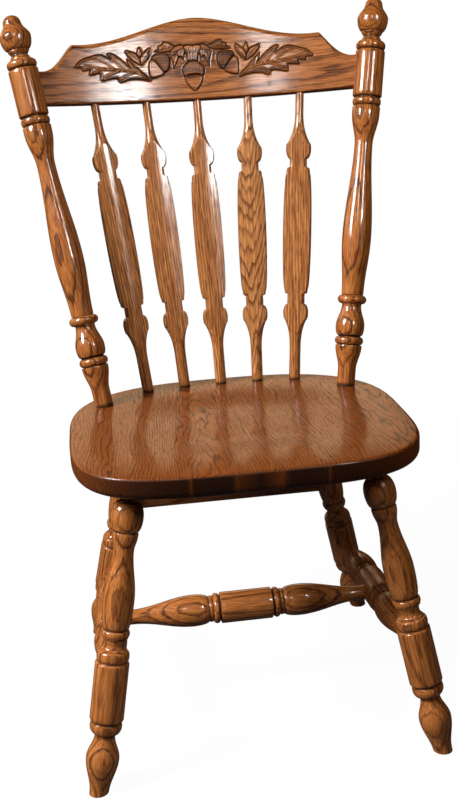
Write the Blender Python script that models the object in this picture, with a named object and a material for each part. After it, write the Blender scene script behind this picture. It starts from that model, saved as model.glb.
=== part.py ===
"""Pressed back dining chair: a glued-up seat on four turned legs with stretchers, and a back of two turned
posts, five flat spindles and a bent crest rail. Metres, +Z up; the sitter faces -Y."""
import math

import bmesh
import bpy
from mathutils import Matrix, Vector

# Fits
CLEAR = 0.0003
HOLE_CLEAR = 0.001
CUT_MARGIN = 0.05

# Seat: two half superellipses that meet on the widest line, a board glue-up with a shallow dish
SEAT_LINE_Y = -0.0401
SEAT_HEIGHT = 0.457
SEAT_THICKNESS = 0.0335
SEAT_WIDTH = 0.495
SEAT_FRONT_REACH = 0.2398
SEAT_BACK_REACH = 0.2197
SEAT_FRONT_POWER = 3.9
SEAT_BACK_POWER = 2.75
SEAT_TOP_ROUND = 0.005
SEAT_BOTTOM_ROUND = 0.013
SEAT_BOTTOM_INSET = 0.016
SEAT_DISH = 0.006
SEAT_RIM = 0.058
SEAT_DISH_RUN = 0.11
SEAT_OUTLINE_POINTS = 44
SEAT_ROUND_STEPS = 2
SEAT_DISH_STEPS = 3
MIDDLE_BOARD_WIDTH = 0.060
INNER_BOARD_WIDTH = 0.061

# Legs: where their axes pass the seat's underside, and how they spread
FRONT_LEG_SIDE_INSET = 0.080
FRONT_LEG_FRONT_INSET = 0.084
FRONT_LEG_SPLAY = math.radians(10.6)
FRONT_LEG_RAKE = math.radians(9.4)
REAR_LEG_SIDE_INSET = 0.105
REAR_LEG_BACK_INSET = 0.0384
REAR_LEG_SPLAY = math.radians(12.34)
REAR_LEG_RAKE = math.radians(10.5)
LEG_SIDES = 12
FOOT_STOCK = 0.012
LEG_TENON_RADIUS = 0.012
LEG_TENON_LENGTH = 0.020
LEG_SHOULDER_GAP = 0.0225
LEG_SHOULDER_RADIUS = 0.0125
BALL_TOP_DROP = 0.0325
BALL_TOP_RADIUS = 0.0205
BALL_DROP = 0.0435
BALL_RADIUS = 0.0227
COLLAR_DROP = 0.0645
COLLAR_HEIGHT = 0.006
COLLAR_RADIUS = 0.0178
LEG_WAIST_DROP = 0.0905
LEG_WAIST_RADIUS = 0.0142
VASE_RADIUS = 0.0218
VASE_RISE = 0.0434
FOOT_TIP_RADIUS = 0.0136
FOOT_RADIUS = 0.0232
FOOT_RISE = 0.0505
ANKLE_RISE = 0.0835
ANKLE_RADIUS = 0.0143
ANKLE_RING_FLAT = 0.006
LEG_RING_RADIUS = 0.0225
LEG_BLOCK_RISE = 0.1065
LEG_BLOCK_HEIGHT = 0.082
LEG_BLOCK_RADIUS = 0.0238
GROOVE_WIDTH = 0.0035
GROOVE_DEPTH = 0.0033
LEG_BEAD_HEIGHT = 0.0142
LEG_FILLET_HEIGHT = 0.003
LEG_FILLET_RADIUS = 0.0185
LEG_COVE_HEIGHT = 0.0162
LEG_COVE_RADIUS = 0.015
SMALL_BEAD_HEIGHT = 0.0103
SMALL_BEAD_RADIUS = 0.0201
VASE_FOOT_RADIUS = 0.0172

# Stretchers: heights on the leg axes and the turning from its middle outwards
FRONT_JOINT_HEIGHT = 0.156
REAR_JOINT_HEIGHT = 0.133
CROSS_FROM_FRONT = 0.202
SIDE_PATTERN_SHIFT = 0.009
STRETCHER_SIDES = 10
STRETCHER_TENON_DEPTH = 0.018
STRETCHER_END_RADIUS = 0.0115
STRETCHER_BARREL_HALF = 0.0404
STRETCHER_BARREL_RADIUS = 0.0243
STRETCHER_RING_WIDTH = 0.0105
STRETCHER_RING_RADIUS = 0.0236
STRETCHER_LINE_WIDTH = 0.0066
STRETCHER_LINE_RADIUS = 0.0206
STRETCHER_GROOVE_WIDTH = 0.0035
STRETCHER_GROOVE_RADIUS = 0.0186
STRETCHER_BULB_RADIUS = 0.0246
STRETCHER_BULB_AT = 0.084
STRETCHER_TAPER_END = 0.178
CROSS_TENON_DEPTH = 0.012
REAR_BOARD_BOTTOM = 0.255
REAR_BOARD_HEIGHT = 0.042
REAR_BOARD_THICKNESS = 0.018
REAR_BOARD_END_GAP = 0.0005
REAR_BOARD_TENON_HEIGHT = 0.026
REAR_BOARD_TENON_LENGTH = 0.016

# Back posts
POST_SIDE_INSET = 0.054
POST_BACK_INSET = 0.0545
POST_SPLAY = math.radians(8.55)
BACK_RECLINE = math.radians(12.9)
POST_SIDES = 12
POST_TENON_LENGTH = 0.022
POST_FOOT_RADIUS = 0.0143
POST_FOOT_STRAIGHT = 0.025
POST_CUP_RISE = 0.062
POST_CUP_RADIUS = 0.0209
POST_RING_HEIGHT = 0.013
POST_RING_RADIUS = 0.0225
POST_GROOVE_WIDTH = 0.003
POST_GROOVE_DEPTH = 0.003
POST_BULB_RISE = 0.094
POST_BULB_RADIUS = 0.0229
POST_NECK_RISE = 0.127
POST_NECK_RADIUS = 0.0154
POST_FLANGE_HEIGHT = 0.014
POST_FLANGE_RADIUS = 0.0229
POST_BALUSTER_FOOT_RADIUS = 0.0174
POST_BALUSTER_RISE = 0.235
POST_BALUSTER_RADIUS = 0.023
POST_WAIST_DROP = 0.075
POST_WAIST_RADIUS = 0.0142
POST_SHOULDER_DROP = 0.027
POST_SHOULDER_RADIUS = 0.0217
POST_BLOCK_RADIUS = 0.023
POST_BLOCK_BELOW_RAIL = 0.0167
POST_BLOCK_ABOVE_RAIL = 0.003
KNOB_RING_HEIGHT = 0.0135
KNOB_RING_RADIUS = 0.0231
KNOB_NECK_RISE = 0.0232
KNOB_NECK_RADIUS = 0.013
KNOB_BEAD_HEIGHT = 0.0065
KNOB_BEAD_RADIUS = 0.0164
KNOB_BALL_RISE = 0.05
KNOB_BALL_RADIUS = 0.0241
KNOB_TIP_RISE = 0.0712
KNOB_TIP_RADIUS = 0.014
KNOB_TOP_RISE = 0.083
KNOB_TOP_RADIUS = 0.004

# Crest rail: a bent board in the reclined plane of the posts
RAIL_END_BOTTOM = 0.469
RAIL_END_HEIGHT = 0.051
RAIL_THICKNESS = 0.022
RAIL_BOW = 0.055
RAIL_END_SETBACK = 0.007
RAIL_ARCH = 0.006
RAIL_SHOULDER_RUN = 0.051
RAIL_SHOULDER_RISE = 0.0427
RAIL_PEAK_RISE = 0.0415
RAIL_OGEE_POWER = 0.62
RAIL_CROWN_POWER = 0.92
RAIL_TOP_ROUND = 0.0075
RAIL_ROUND_STEPS = 2
RAIL_OVERLAP = 0.010
RAIL_CROWN_STATIONS = 9
RAIL_OGEE_STATIONS = 6
RAIL_TENON_HEIGHT = 0.032
RAIL_TENON_THICKNESS = 0.010
RAIL_TENON_PAST_AXIS = 0.006
PIN_RADIUS = 0.0025
PIN_OFFSET = 0.007
PIN_DEPTH = 0.014
PIN_SIDES = 10

# Spindles: turned blanks sawn flat on both faces
SPINDLE_COUNT = 5
SPINDLE_PITCH = 0.0604
SPINDLE_TOP_PITCH = 0.0822
SPINDLE_TOP_SHIFT = -0.0032
SPINDLE_BACK_INSET = 0.0345
SPINDLE_SIDES = 10
SPINDLE_THICKNESS = 0.0192
SPINDLE_FOOT_RADIUS = 0.0091
SPINDLE_FOOT_TENON = 0.018
SPINDLE_NECK_RADIUS = 0.0066
SPINDLE_NECK_TENON = 0.016
SPINDLE_NECK_STRAIGHT = 0.030
SPINDLE_FLARE_HALF = 0.0116
SPINDLE_LOBE_HALF = 0.0203
SPINDLE_NOTCH_HALF = 0.014
SPINDLE_PADDLE_HALF = 0.0231
SPINDLE_PADDLE_END_HALF = 0.0184
LOWER_TAPER_START = 0.045
LOWER_FLARE_RISE = 0.080
LOWER_LOBE_RISE = 0.1096
LOWER_NOTCH_RISE = 0.1275
LOWER_PADDLE_RISE = 0.143
UPPER_FLARE_DROP = 0.066
UPPER_LOBE_DROP = 0.0878
UPPER_NOTCH_DROP = 0.1085
UPPER_PADDLE_DROP = 0.122
NOTCH_STEP = 0.004

SEAT_BOTTOM = SEAT_HEIGHT - SEAT_THICKNESS
HALF_WIDTH = SEAT_WIDTH / 2
SIDES = (("left", -1), ("right", 1))
WOOD = {
    "seat": (0.30, 0.13, 0.055),
    "leg": (0.27, 0.11, 0.045),
    "stretcher": (0.25, 0.10, 0.042),
    "post": (0.29, 0.12, 0.05),
    "spindle": (0.31, 0.13, 0.055),
    "rail": (0.28, 0.115, 0.048),
    "pin": (0.22, 0.09, 0.04),
}


def clear_scene():
    for thing in list(bpy.data.objects):
        bpy.data.objects.remove(thing, do_unlink=True)


def wood_material(name, kind):
    material = bpy.data.materials.new(name)
    material.use_nodes = True
    shader = material.node_tree.nodes["Principled BSDF"]
    shader.inputs["Base Color"].default_value = (*WOOD[kind], 1.0)
    shader.inputs["Roughness"].default_value = 0.25
    shader.inputs["Metallic"].default_value = 0.0
    return material


def make_object(name, bm, kind=None, matrix=None):
    """Turn a bmesh into a named piece, or into a wire cutter when it has no wood kind."""
    bmesh.ops.recalc_face_normals(bm, faces=bm.faces)
    mesh = bpy.data.meshes.new(name)
    bm.to_mesh(mesh)
    bm.free()
    thing = bpy.data.objects.new(name, mesh)
    bpy.context.scene.collection.objects.link(thing)
    if matrix is not None:
        thing.matrix_world = matrix
    if kind is None:
        thing.hide_render = True
        thing.display_type = "WIRE"
    else:
        mesh.materials.append(wood_material(name, kind))
        mesh.shade_smooth()
        mesh.set_sharp_from_angle(angle=math.radians(35))
    return thing


def boolean(thing, other, operation):
    modifier = thing.modifiers.new(f"{operation.lower()} {other.name}", "BOOLEAN")
    modifier.operation = operation
    modifier.solver = "EXACT"
    modifier.object = other


def axis_matrix(base, direction):
    """Place local +Z along a direction, with local +X as near to the chair's +X as it can be."""
    along = direction.normalized()
    guide = Vector((0, 1, 0)) if abs(along.x) > 0.9 else Vector((1, 0, 0))
    across = (guide - along * guide.dot(along)).normalized()
    rotation = Matrix((across, along.cross(across), along)).transposed()
    return Matrix.Translation(base) @ rotation.to_4x4()


# Turned work

def ease_to(points, rise, radius, steps):
    """Run from the last point to a new radius in one S-shaped sweep."""
    start_rise, start_radius = points[-1]
    for step in range(1, steps + 1):
        part = step / steps
        blend = (1 - math.cos(math.pi * part)) / 2
        mixed = start_radius + (radius - start_radius) * blend
        points.append((start_rise + (rise - start_rise) * part, mixed))


def dome_to(points, rise, radius, steps):
    """Run from the last point to a new radius along a quarter of an ellipse, steep at the smaller end."""
    start_rise, start_radius = points[-1]
    for step in range(1, steps + 1):
        turn = math.pi / 2 * step / steps
        if radius > start_radius:
            along, across = 1 - math.cos(turn), math.sin(turn)
        else:
            along, across = math.sin(turn), 1 - math.cos(turn)
        mixed = start_radius + (radius - start_radius) * across
        points.append((start_rise + (rise - start_rise) * along, mixed))


def bead(points, height, radius, steps=3):
    """Half-round bead, or a cove when the radius is the smaller one."""
    start_rise, start_radius = points[-1]
    for step in range(1, steps + 1):
        turn = math.pi * step / steps
        swell = math.sin(turn) * (radius - start_radius)
        points.append((start_rise + height * (1 - math.cos(turn)) / 2, start_radius + swell))


def line_to(points, rise, radius):
    points.append((rise, radius))


def groove(points, width, radius):
    """Cut one wall of a V groove down to a radius, half the groove's width above the last point."""
    line_to(points, points[-1][0] + width / 2, radius)


def lathe(profile, sides):
    """Spin a profile of (rise, radius) points about local Z and close both ends."""
    bm = bmesh.new()
    path = [(profile[0][0], 0.0)] + list(profile) + [(profile[-1][0], 0.0)]
    verts = [bm.verts.new((radius, 0, rise)) for rise, radius in path]
    edges = [bm.edges.new(pair) for pair in zip(verts, verts[1:])]
    bmesh.ops.spin(bm, geom=verts + edges, cent=(0, 0, 0), axis=(0, 0, 1), angle=2 * math.pi, steps=sides)
    bmesh.ops.remove_doubles(bm, verts=bm.verts, dist=1e-6)
    return bm


def rod_cutter(name, matrix, low, high, radius, sides):
    return make_object(name, lathe([(low, radius), (high, radius)], sides), matrix=matrix)


def box_cutter(name, size, matrix):
    bm = bmesh.new()
    bmesh.ops.create_cube(bm, size=1.0)
    bmesh.ops.scale(bm, vec=size, verts=bm.verts)
    return make_object(name, bm, matrix=matrix)


def quarter_turn(steps):
    """Points of a unit quarter circle as (along, across) from (0, 0) to (1, 1)."""
    turns = [math.pi / 2 * step / steps for step in range(steps + 1)]
    return [(math.sin(turn), 1 - math.cos(turn)) for turn in turns]


# Seat geometry

def seat_back_edge(x):
    return SEAT_BACK_REACH * (1 - (abs(x) / HALF_WIDTH) ** SEAT_BACK_POWER) ** (1 / SEAT_BACK_POWER)


def seat_outline(inset):
    """Outline points round the seat, drawn in from the edge by an inset."""
    points = []
    for step in range(SEAT_OUTLINE_POINTS):
        turn = 2 * math.pi * step / SEAT_OUTLINE_POINTS
        back = math.sin(turn) >= 0
        power = SEAT_BACK_POWER if back else SEAT_FRONT_POWER
        reach = (SEAT_BACK_REACH if back else SEAT_FRONT_REACH) - inset
        x = math.copysign(abs(math.cos(turn)) ** (2 / power), math.cos(turn)) * (HALF_WIDTH - inset)
        y = math.copysign(abs(math.sin(turn)) ** (2 / power), math.sin(turn)) * reach
        points.append((x, SEAT_LINE_Y + y))
    return points


def seat_blank():
    """Whole seat slab as stacked outlines, with rounded edges and the dish in its top."""
    levels = []
    for along, across in quarter_turn(SEAT_ROUND_STEPS):
        levels.append((SEAT_BOTTOM_INSET * (1 - along), SEAT_BOTTOM + SEAT_BOTTOM_ROUND * across))
    for along, across in quarter_turn(SEAT_ROUND_STEPS):
        levels.append((SEAT_TOP_ROUND * across, SEAT_HEIGHT - SEAT_TOP_ROUND * (1 - along)))
    for step in range(SEAT_DISH_STEPS + 1):
        part = step / SEAT_DISH_STEPS
        blend = (1 - math.cos(math.pi * part)) / 2
        levels.append((SEAT_RIM + SEAT_DISH_RUN * part, SEAT_HEIGHT - SEAT_DISH * blend))
    bm = bmesh.new()
    loops = []
    for inset, height in levels:
        loops.append([bm.verts.new((x, y, height)) for x, y in seat_outline(inset)])
    for low, high in zip(loops, loops[1:]):
        for step in range(SEAT_OUTLINE_POINTS):
            after = (step + 1) % SEAT_OUTLINE_POINTS
            bm.faces.new((low[step], low[after], high[after], high[step]))
    bm.faces.new(reversed(loops[0]))
    bm.faces.new(loops[-1])
    return bm


def seat_boards(sockets):
    """Cut the slab into five boards and bore each for the tenons that stand in it."""
    inner = MIDDLE_BOARD_WIDTH / 2
    outer = inner + INNER_BOARD_WIDTH
    edge = HALF_WIDTH + CUT_MARGIN
    depth = 2 * (SEAT_FRONT_REACH + SEAT_BACK_REACH)
    limits = [-edge, -outer, -inner, inner, outer, edge]
    for number, (low, high) in enumerate(zip(limits, limits[1:]), 1):
        board = make_object(f"seat_board_{number}", seat_blank(), "seat")
        centre = Vector(((low + high) / 2, SEAT_LINE_Y, SEAT_HEIGHT))
        size = (high - low - CLEAR, depth, SEAT_HEIGHT)
        boolean(board, box_cutter(f"board_block_{number}", size, Matrix.Translation(centre)), "INTERSECT")
        for cutter in sockets:
            reach = cutter.dimensions.x
            if low - reach < cutter.matrix_world.translation.x < high + reach:
                boolean(board, cutter, "DIFFERENCE")


# Legs

def leg_axis(front, side):
    """Point where a leg's axis passes the seat's underside, and the leg's upward direction."""
    if front:
        x = HALF_WIDTH - FRONT_LEG_SIDE_INSET
        y = -SEAT_FRONT_REACH + FRONT_LEG_FRONT_INSET
        lean = Vector((-side * math.tan(FRONT_LEG_SPLAY), math.tan(FRONT_LEG_RAKE), 1))
    else:
        x = HALF_WIDTH - REAR_LEG_SIDE_INSET
        y = seat_back_edge(x) - REAR_LEG_BACK_INSET
        lean = Vector((-side * math.tan(REAR_LEG_SPLAY), -math.tan(REAR_LEG_RAKE), 1))
    return Vector((side * x, SEAT_LINE_Y + y, SEAT_BOTTOM)), lean


def leg_point(front, side, height):
    top, lean = leg_axis(front, side)
    return top + lean * (height - SEAT_BOTTOM)


def leg_profile(length):
    """Leg turning from below the floor line to the top of its tenon."""
    points = [(-FOOT_STOCK, FOOT_TIP_RADIUS), (0.0, FOOT_TIP_RADIUS)]
    ease_to(points, FOOT_RISE, FOOT_RADIUS, 3)
    ease_to(points, ANKLE_RISE, ANKLE_RADIUS, 3)
    ring_top = LEG_BLOCK_RISE - GROOVE_WIDTH
    line_to(points, ring_top - ANKLE_RING_FLAT, LEG_RING_RADIUS)
    line_to(points, ring_top, LEG_RING_RADIUS)
    groove(points, GROOVE_WIDTH, LEG_BLOCK_RADIUS - GROOVE_DEPTH)
    line_to(points, LEG_BLOCK_RISE, LEG_BLOCK_RADIUS)
    line_to(points, LEG_BLOCK_RISE + LEG_BLOCK_HEIGHT, LEG_BLOCK_RADIUS)
    groove(points, GROOVE_WIDTH, LEG_BLOCK_RADIUS - GROOVE_DEPTH)
    bead(points, LEG_BEAD_HEIGHT, LEG_RING_RADIUS)
    line_to(points, points[-1][0] + LEG_FILLET_HEIGHT, LEG_FILLET_RADIUS)
    bead(points, LEG_COVE_HEIGHT, LEG_COVE_RADIUS)
    line_to(points, points[-1][0] + LEG_FILLET_HEIGHT / 2, VASE_FOOT_RADIUS)
    bead(points, SMALL_BEAD_HEIGHT, SMALL_BEAD_RADIUS)
    vase_foot = points[-1][0]
    dome_to(points, vase_foot + VASE_RISE, VASE_RADIUS, 3)
    ease_to(points, length - LEG_WAIST_DROP, LEG_WAIST_RADIUS, 4)
    ease_to(points, length - COLLAR_DROP - COLLAR_HEIGHT, COLLAR_RADIUS, 2)
    line_to(points, length - COLLAR_DROP - GROOVE_WIDTH / 2, COLLAR_RADIUS)
    line_to(points, length - COLLAR_DROP, COLLAR_RADIUS - GROOVE_DEPTH / 2)
    dome_to(points, length - BALL_DROP, BALL_RADIUS, 3)
    ease_to(points, length - BALL_TOP_DROP, BALL_TOP_RADIUS, 2)
    dome_to(points, length - LEG_SHOULDER_GAP, LEG_SHOULDER_RADIUS, 2)
    line_to(points, length - LEG_SHOULDER_GAP, LEG_TENON_RADIUS)
    line_to(points, length + LEG_TENON_LENGTH, LEG_TENON_RADIUS)
    return points


def make_leg(name, front, side):
    """Turn a leg, cut its foot level with the floor and return it with the cutter for its seat socket."""
    top, lean = leg_axis(front, side)
    length = SEAT_BOTTOM * lean.length
    matrix = axis_matrix(leg_point(front, side, 0.0), lean)
    bm = lathe(leg_profile(length), LEG_SIDES)
    floor_normal = matrix.to_3x3().inverted() @ Vector((0, 0, 1))
    bmesh.ops.bisect_plane(
        bm, geom=bm.verts[:] + bm.edges[:] + bm.faces[:], dist=1e-6,
        plane_co=(0, 0, 0), plane_no=floor_normal, clear_inner=True)
    bmesh.ops.holes_fill(bm, edges=[edge for edge in bm.edges if edge.is_boundary])
    leg = make_object(name, bm, "leg", matrix)
    socket = rod_cutter(
        f"{name}_socket", matrix, length - LEG_TENON_LENGTH, length + LEG_TENON_LENGTH + HOLE_CLEAR,
        LEG_TENON_RADIUS + CLEAR, LEG_SIDES)
    socket.matrix_world = axis_matrix(top, lean)
    socket.data.transform(Matrix.Translation((0, 0, -length)))
    return leg, socket


# Stretchers

def stretcher_half(reach):
    """Half of a stretcher's turning, from its middle to the end of its tenon."""
    points = [(0.0, STRETCHER_BARREL_RADIUS), (STRETCHER_BARREL_HALF, STRETCHER_BARREL_RADIUS)]
    groove(points, STRETCHER_GROOVE_WIDTH, STRETCHER_GROOVE_RADIUS)
    bead(points, STRETCHER_RING_WIDTH, STRETCHER_RING_RADIUS)
    bead(points, STRETCHER_LINE_WIDTH, STRETCHER_LINE_RADIUS)
    dome_to(points, STRETCHER_BULB_AT, STRETCHER_BULB_RADIUS, 3)
    ease_to(points, min(STRETCHER_TAPER_END, reach - STRETCHER_TENON_DEPTH), STRETCHER_END_RADIUS, 4)
    line_to(points, reach, STRETCHER_END_RADIUS)
    return points


def make_stretcher(name, low_end, high_end, middle):
    """Turn a stretcher between two tenon ends, with the middle of its pattern at a given point."""
    matrix = axis_matrix(middle, high_end - low_end)
    upper = stretcher_half((high_end - middle).length)
    lower = [(-rise, radius) for rise, radius in reversed(stretcher_half((low_end - middle).length))]
    piece = make_object(name, lathe(lower + upper[1:], STRETCHER_SIDES), "stretcher", matrix)
    reach_low = -(low_end - middle).length - HOLE_CLEAR
    reach_high = (high_end - middle).length + HOLE_CLEAR
    radius = STRETCHER_END_RADIUS + CLEAR
    tip = LEG_BLOCK_RADIUS + STRETCHER_TENON_DEPTH
    low_socket = rod_cutter(
        f"{name}_low_socket", matrix, reach_low, reach_low + tip, radius, STRETCHER_SIDES)
    high_socket = rod_cutter(
        f"{name}_high_socket", matrix, reach_high - tip, reach_high, radius, STRETCHER_SIDES)
    return piece, low_socket, high_socket


def make_stretchers(legs):
    """Side stretchers into the legs, and the cross stretcher into the side stretchers."""
    middles = {}
    sides = {}
    for label, side in SIDES:
        front = leg_point(True, side, FRONT_JOINT_HEIGHT)
        rear = leg_point(False, side, REAR_JOINT_HEIGHT)
        along = (front - rear).normalized()
        inset = LEG_BLOCK_RADIUS - STRETCHER_TENON_DEPTH
        middles[label] = front - along * CROSS_FROM_FRONT
        pattern = middles[label] - along * SIDE_PATTERN_SHIFT
        piece, low_socket, high_socket = make_stretcher(
            f"side_stretcher_{label}", rear + along * inset, front - along * inset, pattern)
        boolean(legs[f"rear_leg_{label}"], low_socket, "DIFFERENCE")
        boolean(legs[f"front_leg_{label}"], high_socket, "DIFFERENCE")
        sides[label] = piece
    inset = Vector((STRETCHER_BARREL_RADIUS - CROSS_TENON_DEPTH, 0, 0))
    middle = (middles["left"] + middles["right"]) / 2
    _, low_socket, high_socket = make_stretcher(
        "cross_stretcher", middles["left"] + inset, middles["right"] - inset, middle)
    boolean(sides["left"], low_socket, "DIFFERENCE")
    boolean(sides["right"], high_socket, "DIFFERENCE")


def rear_board_outline(grow):
    """Rear stretcher board in the plane of the rear legs: shoulders follow the legs, tenons stand out."""
    top, lean = leg_axis(False, 1)
    slope = math.hypot(lean.y, lean.z)  # length of the lean seen from behind
    foot_x = top.x - lean.x * SEAT_BOTTOM

    def leg_x(rise):
        return foot_x + lean.x / slope * rise

    bottom = REAR_BOARD_BOTTOM
    high = bottom + REAR_BOARD_HEIGHT
    middle = (bottom + high) / 2
    tenon_low = middle - REAR_BOARD_TENON_HEIGHT / 2 - grow
    tenon_high = middle + REAR_BOARD_TENON_HEIGHT / 2 + grow
    shoulder = (VASE_RADIUS + REAR_BOARD_END_GAP) * lean.length / slope
    tip = REAR_BOARD_TENON_LENGTH - shoulder + grow
    right = [
        (leg_x(bottom) - shoulder, bottom), (leg_x(tenon_low) - shoulder, tenon_low),
        (leg_x(tenon_low) + tip, tenon_low), (leg_x(tenon_high) + tip, tenon_high),
        (leg_x(tenon_high) - shoulder, tenon_high), (leg_x(high) - shoulder, high),
    ]
    return right + [(-x, rise) for x, rise in reversed(right)]


def make_rear_board(legs):
    """Flat board between the rear legs, tenoned into both."""
    lean = leg_axis(False, 1)[1]
    foot = leg_point(False, 1, 0.0)
    matrix = axis_matrix(Vector((0, foot.y, 0)), Vector((0, lean.y, lean.z)))
    half = REAR_BOARD_THICKNESS / 2
    make_object("rear_stretcher", prism(rear_board_outline(0.0), -half, half), "stretcher", matrix)
    opening = prism(rear_board_outline(CLEAR), -half - CLEAR, half + CLEAR)
    socket = make_object("rear_stretcher_socket", opening, matrix=matrix)
    for label, _ in SIDES:
        boolean(legs[f"rear_leg_{label}"], socket, "DIFFERENCE")


def prism(outline, low, high):
    """Extrude an outline of (x, rise) points from one depth to another."""
    bm = bmesh.new()
    face = bm.faces.new([bm.verts.new((x, low, rise)) for x, rise in outline])
    grown = bmesh.ops.extrude_face_region(bm, geom=[face])["geom"]
    moved = [part for part in grown if isinstance(part, bmesh.types.BMVert)]
    bmesh.ops.translate(bm, verts=moved, vec=(0, high - low, 0))
    return bm


# Back plane: x across, depth behind the post axes, rise along the recline

POST_X = HALF_WIDTH - POST_SIDE_INSET
BACK_ORIGIN = Vector((0, SEAT_LINE_Y + seat_back_edge(POST_X) - POST_BACK_INSET, SEAT_HEIGHT))
BACK_MATRIX = axis_matrix(BACK_ORIGIN, Vector((0, math.sin(BACK_RECLINE), math.cos(BACK_RECLINE))))


def back_point(x, depth, rise):
    return BACK_MATRIX @ Vector((x, depth, rise))


def post_x(rise):
    return POST_X + math.tan(POST_SPLAY) * rise


RAIL_END_TOP = RAIL_END_BOTTOM + RAIL_END_HEIGHT
RAIL_END_X = post_x(RAIL_END_BOTTOM + RAIL_END_HEIGHT / 2) - POST_BLOCK_RADIUS / math.cos(POST_SPLAY)


def post_profile():
    """Post turning from the tenon's end to the knob's top, along the post's own axis."""
    points = [(-POST_TENON_LENGTH, POST_FOOT_RADIUS), (POST_FOOT_STRAIGHT, POST_FOOT_RADIUS)]
    ease_to(points, POST_CUP_RISE, POST_CUP_RADIUS, 3)
    groove(points, POST_GROOVE_WIDTH, POST_CUP_RADIUS - POST_GROOVE_DEPTH)
    bead(points, POST_RING_HEIGHT, POST_RING_RADIUS)
    line_to(points, points[-1][0] + POST_GROOVE_WIDTH, POST_CUP_RADIUS - POST_GROOVE_DEPTH / 2)
    dome_to(points, POST_BULB_RISE, POST_BULB_RADIUS, 2)
    ease_to(points, POST_NECK_RISE, POST_NECK_RADIUS, 4)
    line_to(points, points[-1][0] + POST_GROOVE_WIDTH, POST_NECK_RADIUS)
    bead(points, POST_FLANGE_HEIGHT, POST_FLANGE_RADIUS)
    line_to(points, points[-1][0] + POST_GROOVE_WIDTH / 2, POST_BALUSTER_FOOT_RADIUS)
    ease_to(points, POST_BALUSTER_RISE, POST_BALUSTER_RADIUS, 4)
    block_low = RAIL_END_BOTTOM / math.cos(POST_SPLAY) - POST_BLOCK_BELOW_RAIL
    block_high = RAIL_END_TOP / math.cos(POST_SPLAY) + POST_BLOCK_ABOVE_RAIL
    groove_radius = POST_SHOULDER_RADIUS - POST_GROOVE_DEPTH
    ring_low = block_low - POST_RING_HEIGHT - POST_GROOVE_WIDTH / 2
    ease_to(points, block_low - POST_WAIST_DROP, POST_WAIST_RADIUS, 4)
    ease_to(points, block_low - POST_SHOULDER_DROP, POST_SHOULDER_RADIUS, 3)
    line_to(points, ring_low - POST_GROOVE_WIDTH / 2, POST_SHOULDER_RADIUS)
    line_to(points, ring_low, groove_radius)
    bead(points, POST_RING_HEIGHT, POST_RING_RADIUS)
    line_to(points, block_low, POST_BLOCK_RADIUS)
    line_to(points, block_high, POST_BLOCK_RADIUS)
    groove(points, POST_GROOVE_WIDTH, groove_radius)
    bead(points, KNOB_RING_HEIGHT, KNOB_RING_RADIUS)
    ease_to(points, block_high + KNOB_NECK_RISE, KNOB_NECK_RADIUS, 2)
    bead(points, KNOB_BEAD_HEIGHT, KNOB_BEAD_RADIUS)
    dome_to(points, block_high + KNOB_BALL_RISE, KNOB_BALL_RADIUS, 4)
    ease_to(points, block_high + KNOB_TIP_RISE, KNOB_TIP_RADIUS, 4)
    dome_to(points, block_high + KNOB_TOP_RISE, KNOB_TOP_RADIUS, 3)
    return points


def post_matrix(side):
    base = back_point(side * POST_X, 0, 0)
    return axis_matrix(base, back_point(side * post_x(1.0), 0, 1.0) - base)


def make_post(label, side):
    """Turn a post and return it with the cutters for its seat socket and for the rail's coped end."""
    name = f"back_post_{label}"
    matrix = post_matrix(side)
    post = make_object(name, lathe(post_profile(), POST_SIDES), "post", matrix)
    socket = rod_cutter(
        f"{name}_socket", matrix, -POST_TENON_LENGTH - HOLE_CLEAR, POST_FOOT_STRAIGHT,
        POST_FOOT_RADIUS + CLEAR, POST_SIDES)
    cope = rod_cutter(
        f"{name}_cope", matrix, RAIL_END_BOTTOM - POST_TENON_LENGTH, RAIL_END_TOP + RAIL_END_HEIGHT,
        POST_BLOCK_RADIUS + CLEAR, POST_SIDES)
    return post, socket, cope


# Crest rail

def rail_depth(x):
    return RAIL_END_SETBACK + RAIL_BOW * (1 - (x / RAIL_END_X) ** 2)


def rail_slope(x):
    return -2 * RAIL_BOW * x / RAIL_END_X ** 2


def rail_bottom(x):
    return RAIL_END_BOTTOM + RAIL_ARCH * (1 - (x / RAIL_END_X) ** 2)


def rail_top(x):
    """Top outline: a crown between the shoulders, and an ogee down to each post."""
    shoulder_x = RAIL_END_X - RAIL_SHOULDER_RUN
    shoulder = RAIL_END_TOP + RAIL_SHOULDER_RISE
    if abs(x) <= shoulder_x:
        part = (abs(x) / shoulder_x) ** RAIL_CROWN_POWER
        return shoulder + RAIL_PEAK_RISE * (1 + math.cos(math.pi * part)) / 2
    part = min((abs(x) - shoulder_x) / RAIL_SHOULDER_RUN, 1.0) ** RAIL_OGEE_POWER
    return RAIL_END_TOP + RAIL_SHOULDER_RISE * (1 + math.cos(math.pi * part)) / 2


def rail_stations():
    shoulder_x = RAIL_END_X - RAIL_SHOULDER_RUN
    right = [shoulder_x * step / RAIL_CROWN_STATIONS for step in range(RAIL_CROWN_STATIONS + 1)]
    for step in range(1, RAIL_OGEE_STATIONS + 1):
        right.append(shoulder_x + RAIL_SHOULDER_RUN * step / RAIL_OGEE_STATIONS)
    right.append(RAIL_END_X + RAIL_OVERLAP)
    return [-x for x in reversed(right[1:])] + right


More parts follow.
